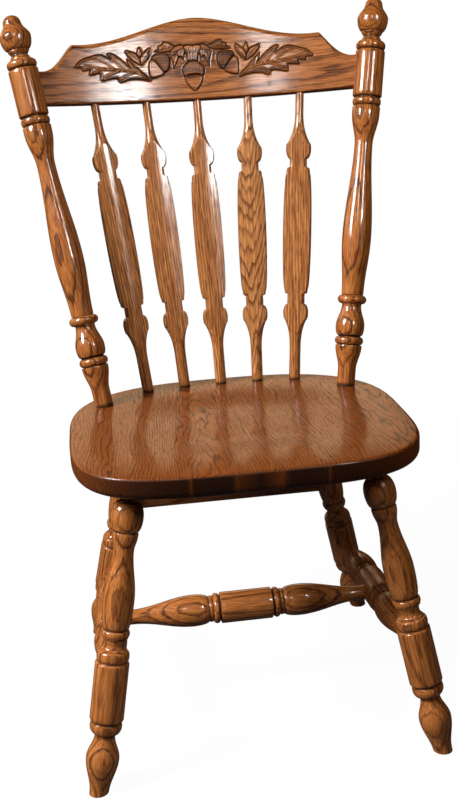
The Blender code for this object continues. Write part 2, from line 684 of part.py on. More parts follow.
def rail_section(x):
    """Section of the board at x as points square to its bow, rounded over along the top front edge."""
    top, bottom, front = rail_top(x), rail_bottom(x), rail_depth(x) - RAIL_THICKNESS / 2
    section = [(RAIL_THICKNESS, top), (RAIL_THICKNESS, bottom), (0.0, bottom)]
    for along, across in quarter_turn(RAIL_ROUND_STEPS):
        section.append((RAIL_TOP_ROUND * across, top - RAIL_TOP_ROUND * (1 - along)))
    turn = math.atan(rail_slope(x))
    return [(x - behind * math.sin(turn), front + behind * math.cos(turn), rise) for behind, rise in section]


def rail_blank():
    bm = bmesh.new()
    loops = []
    for x in rail_stations():
        loops.append([bm.verts.new(point) for point in rail_section(x)])
    count = len(loops[0])
    for left, right in zip(loops, loops[1:]):
        for step in range(count):
            after = (step + 1) % count
            bm.faces.new((left[step], right[step], right[after], left[after]))
    bm.faces.new(loops[0])
    bm.faces.new(reversed(loops[-1]))
    return bm


def rail_tenon(name, side, grow):
    """Flat tenon from inside the rail's end to past the post's axis."""
    middle = RAIL_END_BOTTOM + RAIL_END_HEIGHT / 2
    inner = RAIL_END_X - RAIL_OVERLAP
    outer = post_x(middle) + RAIL_TENON_PAST_AXIS + grow
    size = (outer - inner, RAIL_TENON_THICKNESS + 2 * grow, RAIL_TENON_HEIGHT + 2 * grow)
    centre = Matrix.Translation((side * (inner + outer) / 2, RAIL_END_SETBACK, middle))
    return box_cutter(name, size, BACK_MATRIX @ centre)


def make_pin(label, side):
    """Drive a dowel pin from behind, through post and rail tenon, and return the cutter for its hole."""
    middle = RAIL_END_BOTTOM + RAIL_END_HEIGHT / 2
    start = back_point(side * (post_x(middle) - PIN_OFFSET), 0, middle)
    matrix = axis_matrix(start, back_point(0, 1, 0) - back_point(0, 0, 0))
    face = math.sqrt(POST_BLOCK_RADIUS ** 2 - PIN_OFFSET ** 2) - PIN_RADIUS / 2
    body = lathe([(-PIN_DEPTH, PIN_RADIUS), (face, PIN_RADIUS)], PIN_SIDES)
    make_object(f"crest_pin_{label}", body, "pin", matrix)
    return rod_cutter(
        f"crest_pin_{label}_hole", matrix, -PIN_DEPTH - HOLE_CLEAR, POST_BLOCK_RADIUS * 2,
        PIN_RADIUS + CLEAR, PIN_SIDES)


def make_back(sockets):
    """Posts, crest rail and pins; seat sockets are added to the list."""
    rail = make_object("crest_rail", rail_blank(), "rail", BACK_MATRIX)
    for label, side in SIDES:
        post, socket, cope = make_post(label, side)
        hole = make_pin(label, side)
        boolean(rail, cope, "DIFFERENCE")
        boolean(rail, rail_tenon(f"rail_tenon_{label}", side, 0.0), "UNION")
        boolean(rail, hole, "DIFFERENCE")
        boolean(post, rail_tenon(f"rail_mortise_{label}", side, CLEAR), "DIFFERENCE")
        boolean(post, hole, "DIFFERENCE")
        sockets.append(socket)
    return rail


# Spindles

def spindle_profile(length):
    """Half-widths of a spindle from its foot tenon to its neck tenon."""
    points = [(-SPINDLE_FOOT_TENON, SPINDLE_FOOT_RADIUS), (LOWER_TAPER_START, SPINDLE_FOOT_RADIUS)]
    line_to(points, LOWER_FLARE_RISE, SPINDLE_FLARE_HALF)
    ease_to(points, LOWER_LOBE_RISE, SPINDLE_LOBE_HALF, 3)
    ease_to(points, LOWER_NOTCH_RISE - NOTCH_STEP, SPINDLE_NOTCH_HALF, 2)
    line_to(points, LOWER_PADDLE_RISE - NOTCH_STEP, SPINDLE_NOTCH_HALF)
    line_to(points, LOWER_PADDLE_RISE, SPINDLE_PADDLE_END_HALF)
    upper_end = length - UPPER_PADDLE_DROP
    middle = (LOWER_PADDLE_RISE + upper_end) / 2
    dome_to(points, middle, SPINDLE_PADDLE_HALF, 3)
    dome_to(points, upper_end, SPINDLE_PADDLE_END_HALF, 3)
    line_to(points, upper_end + NOTCH_STEP, SPINDLE_NOTCH_HALF)
    line_to(points, length - UPPER_NOTCH_DROP + NOTCH_STEP, SPINDLE_NOTCH_HALF)
    ease_to(points, length - UPPER_LOBE_DROP, SPINDLE_LOBE_HALF, 2)
    ease_to(points, length - UPPER_FLARE_DROP, SPINDLE_FLARE_HALF, 3)
    line_to(points, length - SPINDLE_NECK_STRAIGHT, SPINDLE_NECK_RADIUS)
    line_to(points, length + SPINDLE_NECK_TENON, SPINDLE_NECK_RADIUS)
    return points


def spindle_body(profile):
    """Loft round sections along the spindle, sawn flat where they are thicker than the spindle."""
    flat = SPINDLE_THICKNESS / 2
    foot = SPINDLE_FOOT_RADIUS
    bm = bmesh.new()
    loops = []
    for rise, half in profile:
        limit = foot if rise <= LOWER_TAPER_START else flat
        loop = []
        for step in range(SPINDLE_SIDES):
            turn = 2 * math.pi * (step + 0.5) / SPINDLE_SIDES
            depth = max(-limit, min(limit, half * math.sin(turn)))
            loop.append(bm.verts.new((half * math.cos(turn), depth, rise)))
        loops.append(loop)
    for low, high in zip(loops, loops[1:]):
        for step in range(SPINDLE_SIDES):
            after = (step + 1) % SPINDLE_SIDES
            bm.faces.new((low[step], low[after], high[after], high[step]))
    bm.faces.new(reversed(loops[0]))
    bm.faces.new(loops[-1])
    return bm


def make_spindles(rail, sockets):
    """Stand the spindles between the seat and the rail, and bore the rail for their necks."""
    for number in range(1, SPINDLE_COUNT + 1):
        place = number - (SPINDLE_COUNT + 1) / 2
        x = place * SPINDLE_PITCH
        top_x = place * SPINDLE_TOP_PITCH + SPINDLE_TOP_SHIFT
        base = Vector((x, SEAT_LINE_Y + seat_back_edge(x) - SPINDLE_BACK_INSET, SEAT_HEIGHT))
        top = back_point(top_x, rail_depth(top_x), rail_bottom(top_x))
        faced = Matrix.Rotation(math.atan(rail_slope(top_x)), 4, "Z")
        matrix = axis_matrix(base, top - base) @ faced
        length = (top - base).length
        name = f"spindle_{number}"
        make_object(name, spindle_body(spindle_profile(length)), "spindle", matrix)
        turned = Matrix.Rotation(math.pi / SPINDLE_SIDES, 4, "Z")
        foot = rod_cutter(
            f"{name}_foot_socket", matrix @ turned, -SPINDLE_FOOT_TENON - HOLE_CLEAR, LOWER_TAPER_START,
            SPINDLE_FOOT_RADIUS + CLEAR, SPINDLE_SIDES)
        neck = rod_cutter(
            f"{name}_neck_socket", matrix @ turned, length - SPINDLE_NECK_STRAIGHT,
            length + SPINDLE_NECK_TENON + HOLE_CLEAR, SPINDLE_NECK_RADIUS + CLEAR, SPINDLE_SIDES)
        sockets.append(foot)
        boolean(rail, neck, "DIFFERENCE")


clear_scene()
seat_sockets = []
leg_pieces = {}
for row, is_front in (("front", True), ("rear", False)):
    for hand, sign in SIDES:
        leg_name = f"{row}_leg_{hand}"
        leg_pieces[leg_name], leg_socket = make_leg(leg_name, is_front, sign)
        seat_sockets.append(leg_socket)
make_stretchers(leg_pieces)
make_rear_board(leg_pieces)
crest = make_back(seat_sockets)
make_spindles(crest, seat_sockets)
bpy.context.view_layer.update()
seat_boards(seat_sockets)
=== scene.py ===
import math
import bpy
import numpy as np
from mathutils import Matrix, Vector


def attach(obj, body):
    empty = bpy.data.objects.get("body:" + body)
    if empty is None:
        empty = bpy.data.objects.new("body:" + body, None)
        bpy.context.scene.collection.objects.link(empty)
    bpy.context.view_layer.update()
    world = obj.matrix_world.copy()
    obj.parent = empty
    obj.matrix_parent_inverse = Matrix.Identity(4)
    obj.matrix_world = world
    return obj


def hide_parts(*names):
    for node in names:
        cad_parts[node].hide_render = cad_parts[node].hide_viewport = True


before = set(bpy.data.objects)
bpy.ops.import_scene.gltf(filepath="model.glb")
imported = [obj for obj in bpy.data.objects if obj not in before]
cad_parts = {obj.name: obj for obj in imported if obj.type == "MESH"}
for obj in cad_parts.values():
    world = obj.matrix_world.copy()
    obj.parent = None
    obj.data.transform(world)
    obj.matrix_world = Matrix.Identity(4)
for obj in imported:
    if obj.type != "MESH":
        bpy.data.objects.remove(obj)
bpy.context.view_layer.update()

# Seat
# A slab glued up from five red oak boards that run front to back, sawn to a soft square, dished by a few
# millimetres and rounded along its edges. End grain drinks the stain, so the front and back edges are dark;
# painted shade darkens all the edges and the underside a little more, least at the right end.
MM = 0.001
SEAT_LINE_Y = -0.0401
SEAT_HEIGHT = 0.457
SEAT_BOTTOM = 0.4235
SEAT_HALF_WIDTH = 0.2475
SEAT_FRONT_REACH = 0.2398
SEAT_BACK_REACH = 0.2197
SEAT_FRONT_POWER = 3.9
SEAT_BACK_POWER = 2.75
SEAT_TOP_ROUND = 0.005
SEAT_BOTTOM_ROUND = 0.013
SEAT_BOTTOM_INSET = 0.016
SEAT_RIM = 0.055
SEAT_DISH_RUN = 0.115
SEAT_DISH = 0.006
SEAT_BOTTOM_STEPS = 8
SEAT_TOP_STEPS = 6
SEAT_DISH_STEPS = 24
GLUE_LINES = (-0.32, -0.091, -0.030, 0.030, 0.091, 0.32)
GLUE_GAP = 0.00008
BOARD_HEARTS = (-0.275, -0.052, 0.105, -0.035, 0.215)
SWIRL_BOARD = 2
SWIRL_RISE = 0.011
SWIRL_PLACE = (-0.068, -0.025)
SWIRL_SPREAD = (0.017, 0.055)
RING_WANDER_MM = (38, 190)
RING_RIPPLE_MM = (5, 45)
PORE_LENGTHS = 20
STREAK_MM = 1.8
STREAK_LENGTHS = 30
PORE_STAIN = "#3A1A0A"
# Nearly black: real dark glaze, also laid on as painted shade in grooves, at joints and under the seat.
GLAZE_AND_SHADE_COLOUR = "#1E0B04"
WOOD_SPECULAR = 0.2
LACQUER_IOR = 1.65


def linear(hex_colour):
    """sRGB hex to linear RGBA."""
    parts = [int(hex_colour[i:i + 2], 16) / 255 for i in (1, 3, 5)]
    return [c / 12.92 if c <= 0.04045 else ((c + 0.055) / 1.055) ** 2.4 for c in parts] + [1.0]


def fill(tree, node, sockets):
    """Fill a node's sockets with values or links."""
    for socket, value in sockets.items():
        if isinstance(value, bpy.types.NodeSocket):
            tree.links.new(value, node.inputs[socket])
        else:
            node.inputs[socket].default_value = value


def put(tree, kind, sockets=(), out=0, **settings):
    """Add a node, fill its sockets and hand back one of its outputs."""
    made = tree.nodes.new(kind)
    for name, value in settings.items():
        setattr(made, name, value)
    fill(tree, made, dict(sockets))
    return made.outputs[out] if made.outputs else None


def maths(tree, operation, *values):
    return put(tree, "ShaderNodeMath", dict(enumerate(values)), operation=operation)


def span(tree, value, start, stop, at_start=0.0, at_stop=1.0, **settings):
    """Turn a range of a value into another range, held at its ends."""
    sockets = {"Value": value, "From Min": start, "From Max": stop, "To Min": at_start, "To Max": at_stop}
    return put(tree, "ShaderNodeMapRange", sockets, **settings)


def stained_oak(name, pale, brown, early, ring_mm, pith_mm, slope, wander_mm, gloss, line=0.5, solid=0.5,
                pore_mm=1.2, jitter=0.7, fleck=0.72, varnish=1.0):
    """Stained red oak under lacquer. Growth rings give wide pale late wood and narrow dark early wood full of
    open pores, which break up the lacquer's gloss; stain and glaze stay dark in grooves and on end grain, and
    the same dark mix is laid there and at joints as painted shade.
    Pores are 0.3 mm wide on the real wood and are drawn about 1 mm wide, as they would not show otherwise.
    The rings lie round a pith that is pith_mm away and grow by slope along the grain; line is the share of
    early wood in a ring and solid its strength."""
    material = bpy.data.materials.new(name)
    material.use_nodes = True
    tree = material.node_tree
    shader = tree.nodes["Principled BSDF"]
    grain = put(tree, "ShaderNodeAttribute", out="Vector", attribute_name="grain")
    glaze_and_painted_shade = put(tree, "ShaderNodeAttribute", out="Fac", attribute_name="glaze_and_painted_shade")

    def stretched(across_mm, along_mm, detail=2.0):
        scale = (1 / (across_mm * MM), 1 / (across_mm * MM), 1 / (along_mm * MM))
        where = put(tree, "ShaderNodeVectorMath", {0: grain, 1: scale}, operation="MULTIPLY")
        return put(tree, "ShaderNodeTexNoise", {"Vector": where, "Scale": 1.0, "Detail": detail})

    across = put(tree, "ShaderNodeVectorMath", {0: grain, 1: (1, 1, 0)}, operation="MULTIPLY")
    across = put(tree, "ShaderNodeVectorMath", {0: across, 1: (pith_mm * MM, 0, 0)}, operation="ADD")
    radius = put(tree, "ShaderNodeVectorMath", {0: across}, out="Value", operation="LENGTH")
    along = put(tree, "ShaderNodeSeparateXYZ", {0: grain}, out="Z")
    leaned = maths(tree, "MULTIPLY_ADD", along, slope, radius)
    wavy = maths(tree, "MULTIPLY_ADD", stretched(*RING_WANDER_MM), wander_mm * MM, leaned)
    ripple = stretched(*RING_RIPPLE_MM, 3.0)
    wavy = maths(tree, "MULTIPLY_ADD", ripple, jitter * ring_mm * MM, wavy)
    phase = maths(tree, "DIVIDE", wavy, ring_mm * MM)
    part = maths(tree, "FRACT", phase)
    year = maths(tree, "FLOOR", phase)
    year = put(tree, "ShaderNodeTexWhiteNoise", {"W": year}, noise_dimensions="1D")
    falling = span(tree, part, 0.04, line, 1.0, 0.0, interpolation_type="SMOOTHSTEP")
    rising = span(tree, part, 0.90, 1.0, interpolation_type="SMOOTHSTEP")
    early_wood = maths(tree, "MAXIMUM", falling, rising)
    pores = span(tree, stretched(pore_mm, PORE_LENGTHS * pore_mm, 1.0), 0.515, 0.565)
    room = maths(tree, "MULTIPLY_ADD", early_wood, 0.4, 0.6)
    pores = maths(tree, "MULTIPLY", pores, room)
    weight = maths(tree, "MULTIPLY_ADD", year, 0.5, 0.5)
    weight = maths(tree, "MULTIPLY", weight, solid)
    band = maths(tree, "MULTIPLY", early_wood, weight)
    streak = span(tree, stretched(STREAK_MM, STREAK_LENGTHS * STREAK_MM, 3.0), 0.36, 0.64)
    filled = maths(tree, "MULTIPLY", pores, fleck)
    colour = linear(pale)
    # The last mix darkens towards the glaze colour: real glaze and end grain, and painted shade.
    for amount, stain in ((streak, brown), (band, early), (filled, PORE_STAIN), (glaze_and_painted_shade, GLAZE_AND_SHADE_COLOUR)):
        colour = put(tree, "ShaderNodeMix", {0: amount, 6: colour, 7: linear(stain)}, 2, data_type="RGBA")
    hollow = maths(tree, "MULTIPLY_ADD", early_wood, 0.3, pores)
    hollow = maths(tree, "MULTIPLY", hollow, -1.0)
    bump = put(tree, "ShaderNodeBump", {"Strength": 0.3, "Distance": 0.0004, "Height": hollow})
    dull = maths(tree, "MULTIPLY_ADD", pores, 0.3, 0.4)
    film = maths(tree, "MULTIPLY_ADD", pores, -0.85 * varnish, varnish)
    bare = maths(tree, "MULTIPLY_ADD", glaze_and_painted_shade, -0.75, 1.0)
    film = maths(tree, "MULTIPLY", film, bare)
    fill(tree, shader, {"Base Color": colour, "Roughness": dull, "Normal": bump, "Coat Weight": film,
                        "Specular IOR Level": WOOD_SPECULAR, "Coat Roughness": gloss,
                        "Coat IOR": LACQUER_IOR})
    return material


def add(name, data):
    """Put a new object with its data into the scene."""
    made = bpy.data.objects.new(name, data)
    bpy.context.scene.collection.objects.link(made)
    return made


def skin(name, rings):
    """Close a skin over rings of equal point counts, with a face over each end."""
    count = len(rings[0])
    points = [tuple(point) for ring in rings for point in ring]
    faces = []
    for low in range(0, len(points) - count, count):
        for step in range(count):
            after = (step + 1) % count
            faces.append((low + step, low + after, low + count + after, low + count + step))
    faces.append(tuple(reversed(range(count))))
    faces.append(tuple(range(len(points) - count, len(points))))
    mesh = bpy.data.meshes.new(name)
    mesh.from_pydata(points, [], faces)
    return add(name, mesh)


def edit(piece):
    """Open one piece in edit mode with all of it selected."""
    bpy.ops.object.select_all(action="DESELECT")
    bpy.context.view_layer.objects.active = piece
    piece.select_set(True)
    bpy.ops.object.mode_set(mode="EDIT")
    bpy.ops.mesh.select_all(action="SELECT")


def close_edit(crease=35):
    """Merge doubles, turn the faces outwards and shade smooth up to a crease angle in degrees."""
    bpy.ops.mesh.select_all(action="SELECT")
    bpy.ops.mesh.remove_doubles(threshold=0.000005)
    bpy.ops.mesh.normals_make_consistent(inside=False)
    bpy.ops.object.mode_set(mode="OBJECT")
    bpy.ops.object.shade_smooth_by_angle(angle=math.radians(crease))


def places(piece, kind="co"):
    """Vertex positions of a piece as an array, or its vertex normals."""
    flat = np.empty(len(piece.data.vertices) * 3)
    piece.data.vertices.foreach_get(kind, flat)
    return flat.reshape(-1, 3)


def give_wood(piece, material, grain, glaze_and_painted_shade, node):
    """Give a piece its material, its place in the sawn blank and its dark glaze with painted shade; hang it
    under the root body and hide its CAD node.
    """
    mesh = piece.data
    mesh.materials.clear()
    mesh.materials.append(material)
    store = mesh.attributes.new("grain", "FLOAT_VECTOR", "POINT")
    store.data.foreach_set("vector", np.asarray(grain, dtype=np.float32).ravel())
    store = mesh.attributes.new("glaze_and_painted_shade", "FLOAT", "POINT")
    store.data.foreach_set("value", np.asarray(glaze_and_painted_shade, dtype=np.float32).ravel())
    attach(piece, "root")
    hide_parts(node)


def seat_ring(inset, height, points=240):
    """Seat outline drawn in from the edge by an inset, at a height."""
    ring = []
    for step in range(points):
        turn = 2 * math.pi * step / points
        back = math.sin(turn) >= 0
        power = SEAT_BACK_POWER if back else SEAT_FRONT_POWER
        reach = (SEAT_BACK_REACH if back else SEAT_FRONT_REACH) - inset
        x = math.copysign(abs(math.cos(turn)) ** (2 / power), math.cos(turn)) * (SEAT_HALF_WIDTH - inset)
        y = math.copysign(abs(math.sin(turn)) ** (2 / power), math.sin(turn)) * reach
        ring.append((x, SEAT_LINE_Y + y, height))
    return ring


def seat_slab(name):
    """The whole seat, from the rounded underside up over the edge and down into the dish."""
    rings = []
    for step in range(SEAT_BOTTOM_STEPS + 1):
        turn = math.pi / 2 * step / SEAT_BOTTOM_STEPS
        rings.append(seat_ring(SEAT_BOTTOM_INSET * (1 - math.sin(turn)),
                               SEAT_BOTTOM + SEAT_BOTTOM_ROUND * (1 - math.cos(turn))))
    for step in range(SEAT_TOP_STEPS + 1):
        turn = math.pi / 2 * step / SEAT_TOP_STEPS
        rings.append(seat_ring(SEAT_TOP_ROUND * (1 - math.cos(turn)),
                               SEAT_HEIGHT - SEAT_TOP_ROUND * (1 - math.sin(turn))))
    for step in range(SEAT_DISH_STEPS + 1):
        part = step / SEAT_DISH_STEPS
        fall = (1 - math.cos(math.pi * part)) / 2
        rings.append(seat_ring(SEAT_RIM + SEAT_DISH_RUN * part, SEAT_HEIGHT - SEAT_DISH * fall))
    return skin(name, rings)


def seat_end_grain_and_shade(normals):
    """Dark end grain at the front and back edges and painted shade on the edges and underside, less at the
    two ends, the right end lightened most as painted light from the right.
    """
    edge = np.clip((np.abs(normals[:, 1]) - 0.2) / 0.75, 0, 1)
    side = np.clip((0.85 - normals[:, 2]) / 0.5, 0, 1)
    # Painted light: the right end is lightened more than the left one.
    ends = np.clip(np.where(normals[:, 0] > 0, 0.8, 0.3) * np.abs(normals[:, 0]), 0, 1)
    return (0.4 + 0.55 * edge) * side * (1 - ends)


# Reddish brown boards with fine wavy ring lines under a thin film that mirrors the backdrop softly.
seat_oak = stained_oak("lacquered red oak, flat sawn boards", "#8C4916", "#72360A", "#321303",
                       ring_mm=4.2, pith_mm=40, slope=0.05, wander_mm=32, gloss=0.14, line=0.4, solid=1.0,
                       pore_mm=0.8, jitter=0.15, fleck=0.2, varnish=0.42)
for number in range(1, 6):
    board = seat_slab(f"oak_seat_board_{number}")
    low, high = GLUE_LINES[number - 1] + GLUE_GAP, GLUE_LINES[number] - GLUE_GAP
    edit(board)
    bpy.ops.mesh.bisect(plane_co=(low, 0, 0), plane_no=(1, 0, 0), use_fill=True, clear_inner=True)
    bpy.ops.mesh.select_all(action="SELECT")
    bpy.ops.mesh.bisect(plane_co=(high, 0, 0), plane_no=(1, 0, 0), use_fill=True, clear_outer=True)
    close_edit(40)
    spots = places(board)
    blank = np.stack([spots[:, 2] - SEAT_HEIGHT, spots[:, 0] - BOARD_HEARTS[number - 1],
                      spots[:, 1] * (-1) ** number + 0.7 * number], axis=1)
    if number == SWIRL_BOARD:
        away = (spots[:, :2] - SWIRL_PLACE) / SWIRL_SPREAD
        blank[:, 0] += SWIRL_RISE * np.exp(-(away ** 2).sum(axis=1))
    give_wood(board, seat_oak, blank, seat_end_grain_and_shade(places(board, "normal")), f"seat_board_{number}")

# Legs
# Four legs of one pattern, turned between centres from red oak squares: foot, ankle, plain block for the
# stretcher, rings and cove, long vase, collar and ball. A round tenon at the top is glued into the seat.
FRONT_LEG_TOP = (0.1675, SEAT_LINE_Y - 0.1558)
FRONT_LEG_LEAN = (math.tan(math.radians(10.6)), math.tan(math.radians(9.4)))
REAR_LEG_TOP_X = 0.1425
REAR_LEG_BACK_INSET = 0.0384
REAR_LEG_LEAN = (math.tan(math.radians(12.34)), -math.tan(math.radians(10.5)))
FOOT_STOCK = 0.012
BLOCK_RADIUS = 0.0238
V_DEPTH = 0.0034
# Painted contact shade with glaze: a dark ring where a post or spindle enters the seat, over this run.
FOOT_SHADE_AND_GLAZE = 0.9
FOOT_SHADE_AND_GLAZE_RUN = 0.0045


def seat_back_edge(x):
    return SEAT_BACK_REACH * (1 - (abs(x) / SEAT_HALF_WIDTH) ** SEAT_BACK_POWER) ** (1 / SEAT_BACK_POWER)


def leg_axis(front, side):
    """Where a leg's axis meets the seat's underside, and its direction for a rise of one."""
    if front:
        top = Vector((side * FRONT_LEG_TOP[0], FRONT_LEG_TOP[1], SEAT_BOTTOM))
        return top, Vector((-side * FRONT_LEG_LEAN[0], FRONT_LEG_LEAN[1], 1))
    top_y = SEAT_LINE_Y + seat_back_edge(REAR_LEG_TOP_X) - REAR_LEG_BACK_INSET
    top = Vector((side * REAR_LEG_TOP_X, top_y, SEAT_BOTTOM))
    return top, Vector((-side * REAR_LEG_LEAN[0], REAR_LEG_LEAN[1], 1))


def sweep(points, rise, radius, steps=14):
    """S-shaped sweep of a turning from its last point to a new radius."""
    start_rise, start = points[-1]
    for step in range(1, steps + 1):
        part = step / steps
        blend = (1 - math.cos(math.pi * part)) / 2
        points.append((start_rise + (rise - start_rise) * part, start + (radius - start) * blend))


def swell(points, rise, radius, steps=12):
    """Quarter of an ellipse from the last point, steep at its smaller end."""
    start_rise, start = points[-1]
    for step in range(1, steps + 1):
        turn = math.pi / 2 * step / steps
        if radius > start:
            along, across = 1 - math.cos(turn), math.sin(turn)
        else:
            along, across = math.sin(turn), 1 - math.cos(turn)
        points.append((start_rise + (rise - start_rise) * along, start + (radius - start) * across))


def bead(points, height, radius, steps=14):
    """Half-round bead, or a cove where the radius is the smaller one."""
    start_rise, start = points[-1]
    for step in range(1, steps + 1):
        turn = math.pi * step / steps
        along = height * (1 - math.cos(turn)) / 2
        points.append((start_rise + along, start + math.sin(turn) * (radius - start)))


def straight(points, rise, radius):
    points.append((rise, radius))


def block(points, low, high, radius, ease=0.0012):
    """Plain cylinder with eased rims and a little length between, so that it shades evenly."""
    points += [(low, radius - ease), (low + ease * 0.4, radius - ease * 0.35), (low + ease, radius)]
    points += [(low + 0.006, radius), (high - 0.006, radius)]
    points += [(high - ease, radius), (high - ease * 0.4, radius - ease * 0.35), (high, radius - ease)]


def along_axis(base, direction):
    """Place local +Z along a direction, with local +X as near to the chair's +X as it can be."""
    up = Vector(direction).normalized()
    guide = Vector((0, 1, 0)) if abs(up.x) > 0.9 else Vector((1, 0, 0))
    across = (guide - up * guide.dot(up)).normalized()
    return Matrix.Translation(base) @ Matrix((across, up.cross(across), up)).transposed().to_4x4()


def turn_piece(name, profile, matrix, sides=72):
    """Spin a profile of (rise, radius) points about its axis and place it."""
    path = [(0, 0, profile[0][0])] + [(r, 0, z) for z, r in profile] + [(0, 0, profile[-1][0])]
    mesh = bpy.data.meshes.new(name)
    mesh.from_pydata(path, [(i, i + 1) for i in range(len(path) - 1)], [])
    piece = add(name, mesh)
    edit(piece)
    bpy.ops.mesh.spin(steps=sides, angle=2 * math.pi, center=(0, 0, 0), axis=(0, 0, 1))
    close_edit(38)
    mesh.transform(matrix)
    return piece


def groove_glaze_and_shade(profile, reach=0.0055, full=0.0026):
    """How deep each point of a turning lies between higher walls close by, from 0 to 1."""
    rise, radius = np.array(profile).T
    depth = np.zeros(len(rise))
    for i in range(len(rise)):
        before = radius[(rise <= rise[i]) & (rise > rise[i] - reach)]
        after = radius[(rise >= rise[i]) & (rise < rise[i] + reach)]
        depth[i] = min(before.max(), after.max()) - radius[i]
    return np.clip(depth / full, 0, 1) ** 0.8


def wood_for_turning(piece, material, profile, matrix, facing, offset, node, strength=0.92, lean=0.0,
                     foot=None):
    """Grain along the axis, ring layers facing an angle in degrees, dark glaze with painted shade in the
    grooves and painted contact shade at the foot.
    """
    local = np.array([matrix.inverted() @ Vector(p) for p in places(piece)])
    c, s = math.cos(math.radians(facing)), math.sin(math.radians(facing))
    blank = np.stack([local[:, 0] * c + local[:, 1] * s + lean * local[:, 2],
                      -local[:, 0] * s + local[:, 1] * c, local[:, 2] + offset], axis=1)
    rise = np.array(profile)[:, 0]
    order = np.argsort(rise, kind="stable")
    # Painted shade with glaze: the deeper a point lies in a groove, the darker it is painted.
    glaze_and_painted_shade = strength * np.interp(local[:, 2], rise[order], groove_glaze_and_shade(profile)[order])
    # Painted contact shade at the foot, where the piece enters the seat.
    if foot is not None:
        glaze_and_painted_shade = np.maximum(glaze_and_painted_shade, FOOT_SHADE_AND_GLAZE * np.clip((foot - local[:, 2]) / FOOT_SHADE_AND_GLAZE_RUN, 0, 1))
    give_wood(piece, material, blank, glaze_and_painted_shade, node)


def turning(points, *cuts):
    """Carry a profile on by cuts, each a shape with its sizes."""
    for shape, *sizes in cuts:
        shape(points, *sizes)
    return points


def leg_profile(length):
    v_radius = BLOCK_RADIUS - V_DEPTH
    return turning(
        [(-FOOT_STOCK, 0.0136), (0.0, 0.0136)],
        (sweep, 0.0505, 0.0232, 22), (sweep, 0.0835, 0.0143, 18), (straight, 0.0862, 0.0143),
        (swell, 0.0972, 0.0225), (swell, 0.1028, 0.0208, 6), (straight, 0.1047, v_radius),
        (block, 0.1065, 0.1885, BLOCK_RADIUS), (straight, 0.1903, v_radius), (bead, 0.0142, 0.0228),
        (straight, 0.2057, 0.0188), (straight, 0.2075, 0.0186), (bead, 0.0162, 0.0150),
        (straight, 0.2245, 0.0172), (bead, 0.0103, 0.0201), (straight, 0.2354, 0.0165),
        (swell, 0.2784, 0.0218, 20), (sweep, length - 0.0905, 0.0142, 30),
        (sweep, length - 0.0705, 0.0178, 12), (straight, length - 0.0670, 0.0181),
        (straight, length - 0.0655, 0.0175), (straight, length - 0.0645, 0.0155),
        (swell, length - 0.0435, 0.0227, 16), (swell, length - 0.0225, 0.0125, 16),
        (straight, length + 0.003, 0.0122))


# Warm brown turnings with long ovals of dark early wood and sharp glints of the lamps in the lacquer.
TURNED_CUT = dict(ring_mm=5.6, pith_mm=60, slope=0.012, wander_mm=8, line=0.32, solid=0.95, pore_mm=1.1,
                  fleck=0.6)
turned_oak = stained_oak("lacquered red oak, turned", "#CC8040", "#A25A26", "#54270E", gloss=0.08,
                         **TURNED_CUT)
# Row and hand, side, side that the rings face, place in the blank
LEGS = (("front", "left", -1, -92, 0.95), ("front", "right", 1, -122, 2.75),
        ("rear", "left", -1, -60, 0.58), ("rear", "right", 1, -100, 2.38))
for row, hand, sign, ring_side, offset in LEGS:
    top, lean = leg_axis(row == "front", sign)
    profile = leg_profile(SEAT_BOTTOM * lean.length)
    matrix = along_axis(top - lean * SEAT_BOTTOM, lean)
    leg = turn_piece(f"oak_{row}_leg_{hand}", profile, matrix)
    edit(leg)
    bpy.ops.mesh.bisect(plane_co=(0, 0, 0), plane_no=(0, 0, 1), use_fill=True, clear_inner=True)
    close_edit(38)
    wood_for_turning(leg, turned_oak, profile, matrix, ring_side, offset, f"{row}_leg_{hand}")

# Stretchers
# Turned red oak: a barrel with a ring pair and a long bulb to each side, tapered to round tenons that are
# glued into the leg blocks. The cross stretcher is glued into the barrels of the two side stretchers.
FRONT_JOINT_HEIGHT = 0.156
REAR_JOINT_HEIGHT = 0.133
CROSS_FROM_FRONT = 0.202
SIDE_PATTERN_SHIFT = 0.009
STRETCHER_BURIED = 0.004
BARREL_RADIUS = 0.0243


def leg_point(front, side, height):
    top, lean = leg_axis(front, side)
    return top + lean * (height - SEAT_BOTTOM)


def stretcher_half(reach):
    """Profile from the middle of the barrel out to one end."""
    return turning(
        [(0.0, BARREL_RADIUS), (0.030, BARREL_RADIUS), (0.0388, BARREL_RADIUS),
         (0.0398, BARREL_RADIUS - 0.0003), (0.0404, BARREL_RADIUS - 0.0012)],
        (straight, 0.0420, 0.0186), (bead, 0.0105, 0.0236), (bead, 0.0066, 0.0206),
        (swell, 0.084, 0.0246, 18), (sweep, min(0.178, reach - 0.012), 0.0115, 26), (straight, reach, 0.0115))


# The side stretchers have a thinner film of lacquer, so they look duller; their colours are painted a
# little darker than the legs' as painted shade under the seat.
satin_oak_painted_shade = stained_oak("lacquered red oak, turned, thin film", "#BC7336", "#924D1D", "#4A1F09", gloss=0.14,
                        varnish=0.35, **TURNED_CUT)


def stretcher(name, low_end, high_end, middle, ring_side, offset, node):
    upper = stretcher_half((high_end - middle).length)
    lower = [(-rise, radius) for rise, radius in reversed(stretcher_half((low_end - middle).length))]
    profile = lower + upper[1:]
    matrix = along_axis(middle, high_end - low_end)
    piece = turn_piece(name, profile, matrix, 64)
    wood = turned_oak if node == "cross_stretcher" else satin_oak_painted_shade
    wood_for_turning(piece, wood, profile, matrix, ring_side, offset, node)


